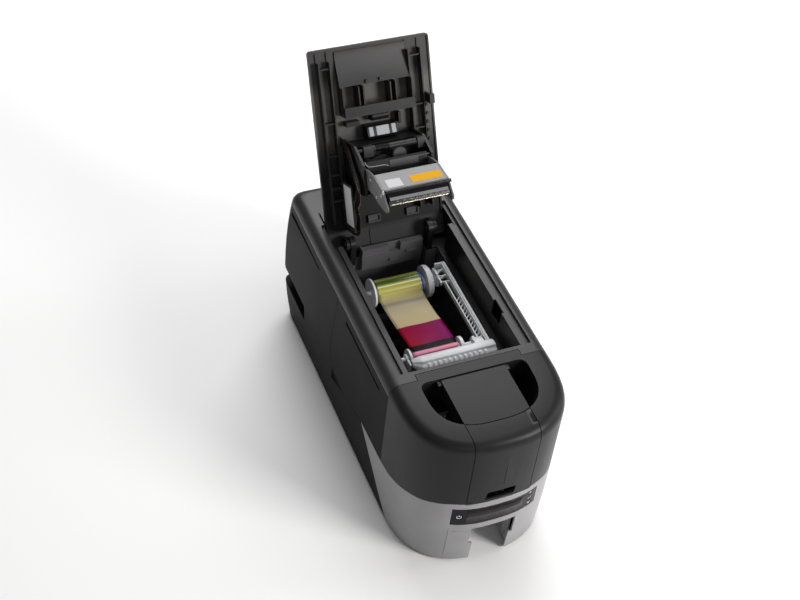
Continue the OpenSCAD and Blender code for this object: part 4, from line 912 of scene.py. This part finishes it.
def draw_carrier_details():
    """Gear on its post, bridge and wire guard under the carrier's seat, and the wires above them."""
    gear = bmesh.new()
    post_z = GEAR_Z + GEAR_HEIGHT
    add_gear(gear, GEAR_X, GEAR_Y, GEAR_Z, GEAR_R, GEAR_HEIGHT, GEAR_TEETH, GEAR_TOOTH)
    add_gear(gear, GEAR_X, GEAR_Y, post_z, POST_R, carrier_roof - post_z)
    add_piece("carrier_gear", gear, "gear_grey", "top_cover", bevel=0.2)
    bridge = bmesh.new()
    bottom, top = CARRIER_SEAT - 0.8, CARRIER_SEAT + 0.1
    for x0, x1, back in BRIDGE_PLATES:
        plate = [(BRIDGE_FRONT, bottom), (BRIDGE_FRONT, top), (back, top), (back, bottom)]
        add_prism(bridge, rounded(plate, radius=0.3), x0, x1)
    add_piece("carrier_bridge", bridge, "gear_grey", "top_cover", bevel=0.2)
    guard = bmesh.new()
    add_wire(guard, smooth_path([(x, y, CARRIER_SEAT - GUARD_DROP) for x, y in GUARD_ROUTE]), GUARD_R)
    add_piece("wire_guard", guard, "grey_plastic", "top_cover", bevel=0)
    wires = bmesh.new()
    for k in range(WIRES):
        shift = WIRE_PITCH * k
        route = [(-39 + shift, 15.6, 178), (-38 + shift, 8 - shift, 172), (-30 + shift, 5, 169 + shift),
                 (-16 + shift, 6 - shift, 170), (-4 + shift, 9, 174 + shift), (2 + shift, 15.4, 180)]
        add_wire(wires, smooth_path(route), WIRE_R, sides=8)
    add_piece("carrier_wires", wires, "rubber", "top_cover", bevel=0)


# Outlines in (y, z) of the catch's two blocks and of its pads
catch_top = DECK_Z + 2.4
LATCH_BLOCK = ((-28, catch_top), (-27, 203), (-15, 200), (-11.5, 203), (-11.5, catch_top))
UPPER_BLOCK = ((-44.8, catch_top), (-44.8, 206), (-38, 203), (-33, 206), (-32, catch_top))
PAD = ((-26.6, 202.6), (-15.6, 199.6), (-15.6, 200.6), (-26.6, 203.6))
PADS = ((-15.5, -10), (-6, 10.5), (14, 19.5))


def draw_catch():
    """Black catch with three bright pads between the compartments and the carrier."""
    block = bmesh.new()
    add_prism(block, rounded(LATCH_BLOCK, radius=1.5), -18, 22)
    add_prism(block, rounded(UPPER_BLOCK, radius=2.5), -9, 13)
    add_box(block, (-42, -36, 208), (-24, -30, catch_top))
    add_box(block, (26, -38, 207), (30, -24, catch_top))
    add_piece("catch_block", block, "inner_black", "top_cover", bevel=0.6)
    pads = bmesh.new()
    for x0, x1 in PADS:
        add_prism(pads, PAD, x0, x1)
    add_piece("catch_pads", pads, "pad_grey", "top_cover", bevel=0.2)


LOOM_ROUTE = ((-48.6, -13, 219.2), (-48.6, -9, 204), (-48.6, -2, 190), (-49.6, 16, 176), (-50.4, 34, 162),
              (-49.2, 50, 166), (-50.6, 62, 173), (-49.4, 76, 173), (-50.2, 90, 176), (-50.2, 96, 190),
              (-50.2, 97, 206), (-50.2, 97, 219.2))
LOOM_HALF, LOOM_THICKNESS, LOOM_BULGE = 6.5, 0.3, 0.5


def draw_loom():
    """Flat cable that bulges down the left side of the carrier."""
    centre = smooth_path(LOOM_ROUTE, steps=6)
    mesh = bmesh.new()
    rows = []
    for i, point in enumerate(centre):
        ahead = (centre[min(i + 1, len(centre) - 1)] - centre[max(i - 1, 0)]).normalized()
        across = Vector((0, -ahead.z, ahead.y)).normalized()
        rows.append([mesh.verts.new(point + across * LOOM_HALF * share
                                    + Vector((LOOM_BULGE * math.cos(3.0 * share), 0, 0)))
                     for share in (-1, -0.5, 0, 0.5, 1)])
    join_rows(mesh, rows)
    add_piece("side_loom", mesh, "cable_brown", "top_cover", bevel=0, thickness=LOOM_THICKNESS)


# ---- Marks on the display ----

KEYS = ("power_button", "up_button", "enter_button", "down_button")
MARK_LIFT, MARK_SINK = 0.06, 0.02
POWER_R = 2.6
POWER_LINE, ENTER_LINE = 0.75, 0.7
ARROW_HALF, ARROW_TIP = 2.2, 1.9
SCREEN_COLUMNS = 24
SCREEN_LEFT, SCREEN_RIGHT = -37.5, 34.5
SCREEN_MARGIN, SCREEN_LIFT, SCREEN_THICKNESS = 2.6, 0.05, 0.08


def front_surface(node):
    """A function that gives the y of a node's front face at an (x, z), in millimetres."""
    low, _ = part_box(node)
    tree = BVHTree.FromObject(nodes[node], bpy.context.evaluated_depsgraph_get())

    def surface(x, z):
        hit = tree.ray_cast(Vector((x * MM, low.y - 0.01, z * MM)), Vector((0, 1, 0)))[0]
        return hit.y / MM if hit else low.y / MM
    return surface


def add_mark(mesh, outline, surface):
    """A thin raised print over an (x, z) outline that follows the surface."""
    join_rings(mesh, [[mesh.verts.new((x, surface(x, z) + sink, z)) for x, z in outline]
                      for sink in (-MARK_LIFT, MARK_SINK)])


def add_stroke(mesh, points, width, surface):
    """A printed line as short quads."""
    for (xa, za), (xb, zb) in zip(points, points[1:]):
        length = math.hypot(xb - xa, zb - za)
        nx, nz = -(zb - za) / length * width / 2, (xb - xa) / length * width / 2
        add_mark(mesh, [(xa + nx, za + nz), (xb + nx, zb + nz), (xb - nx, zb - nz), (xa - nx, za - nz)], surface)


def draw_key_marks():
    """Power sign, two arrows and the enter sign on the four keys."""
    for key in KEYS:
        low, high = box_mm(key)
        x, z = (low.x + high.x) / 2, (low.z + high.z) / 2
        surface = front_surface(key)
        mesh = bmesh.new()
        if key == "power_button":
            arc = [(x + POWER_R * math.sin(math.radians(a)), z - 0.2 + POWER_R * math.cos(math.radians(a)))
                   for a in range(40, 321, 20)]
            add_stroke(mesh, arc, POWER_LINE, surface)
            add_stroke(mesh, [(x, z + 0.2), (x, z + 3.0)], POWER_LINE, surface)
        elif key == "enter_button":
            add_stroke(mesh, [(x + 1.9, z + 1.3), (x + 1.9, z - 0.6), (x - 1.7, z - 0.6)], ENTER_LINE, surface)
            add_mark(mesh, [(x - 1.3, z - 1.8), (x - 1.3, z + 0.6), (x - 2.7, z - 0.6)], surface)
        else:
            tip = ARROW_TIP if key == "up_button" else -ARROW_TIP
            foot = z - tip * 0.6
            add_mark(mesh, [(x - ARROW_HALF, foot), (x + ARROW_HALF, foot), (x, z + tip)], surface)
        add_piece(key + "_mark", mesh, "mark_white", key, bevel=0)


def draw_screen():
    """Smoked screen over the middle of the lens."""
    low, high = box_mm("display_lens")
    surface = front_surface("display_lens")
    mesh = bmesh.new()
    columns = [SCREEN_LEFT + (SCREEN_RIGHT - SCREEN_LEFT) * k / SCREEN_COLUMNS for k in range(SCREEN_COLUMNS + 1)]
    join_rows(mesh, [[mesh.verts.new((x, surface(x, z) - SCREEN_LIFT, z)) for x in columns]
                     for z in (low.z + SCREEN_MARGIN, high.z - SCREEN_MARGIN)])
    add_piece("display_screen", mesh, "smoked_screen", "printer_body", bevel=0,
              thickness=SCREEN_THICKNESS)


add_camera()
add_studio()
add_floor()
materials = build_materials()
dress_nodes()
draw_film()
draw_spool_details()
draw_cassette()
draw_head_details()
draw_head_coils()
draw_shaft()
draw_carrier_details()
draw_catch()
draw_loom()
draw_screen()
draw_key_marks()
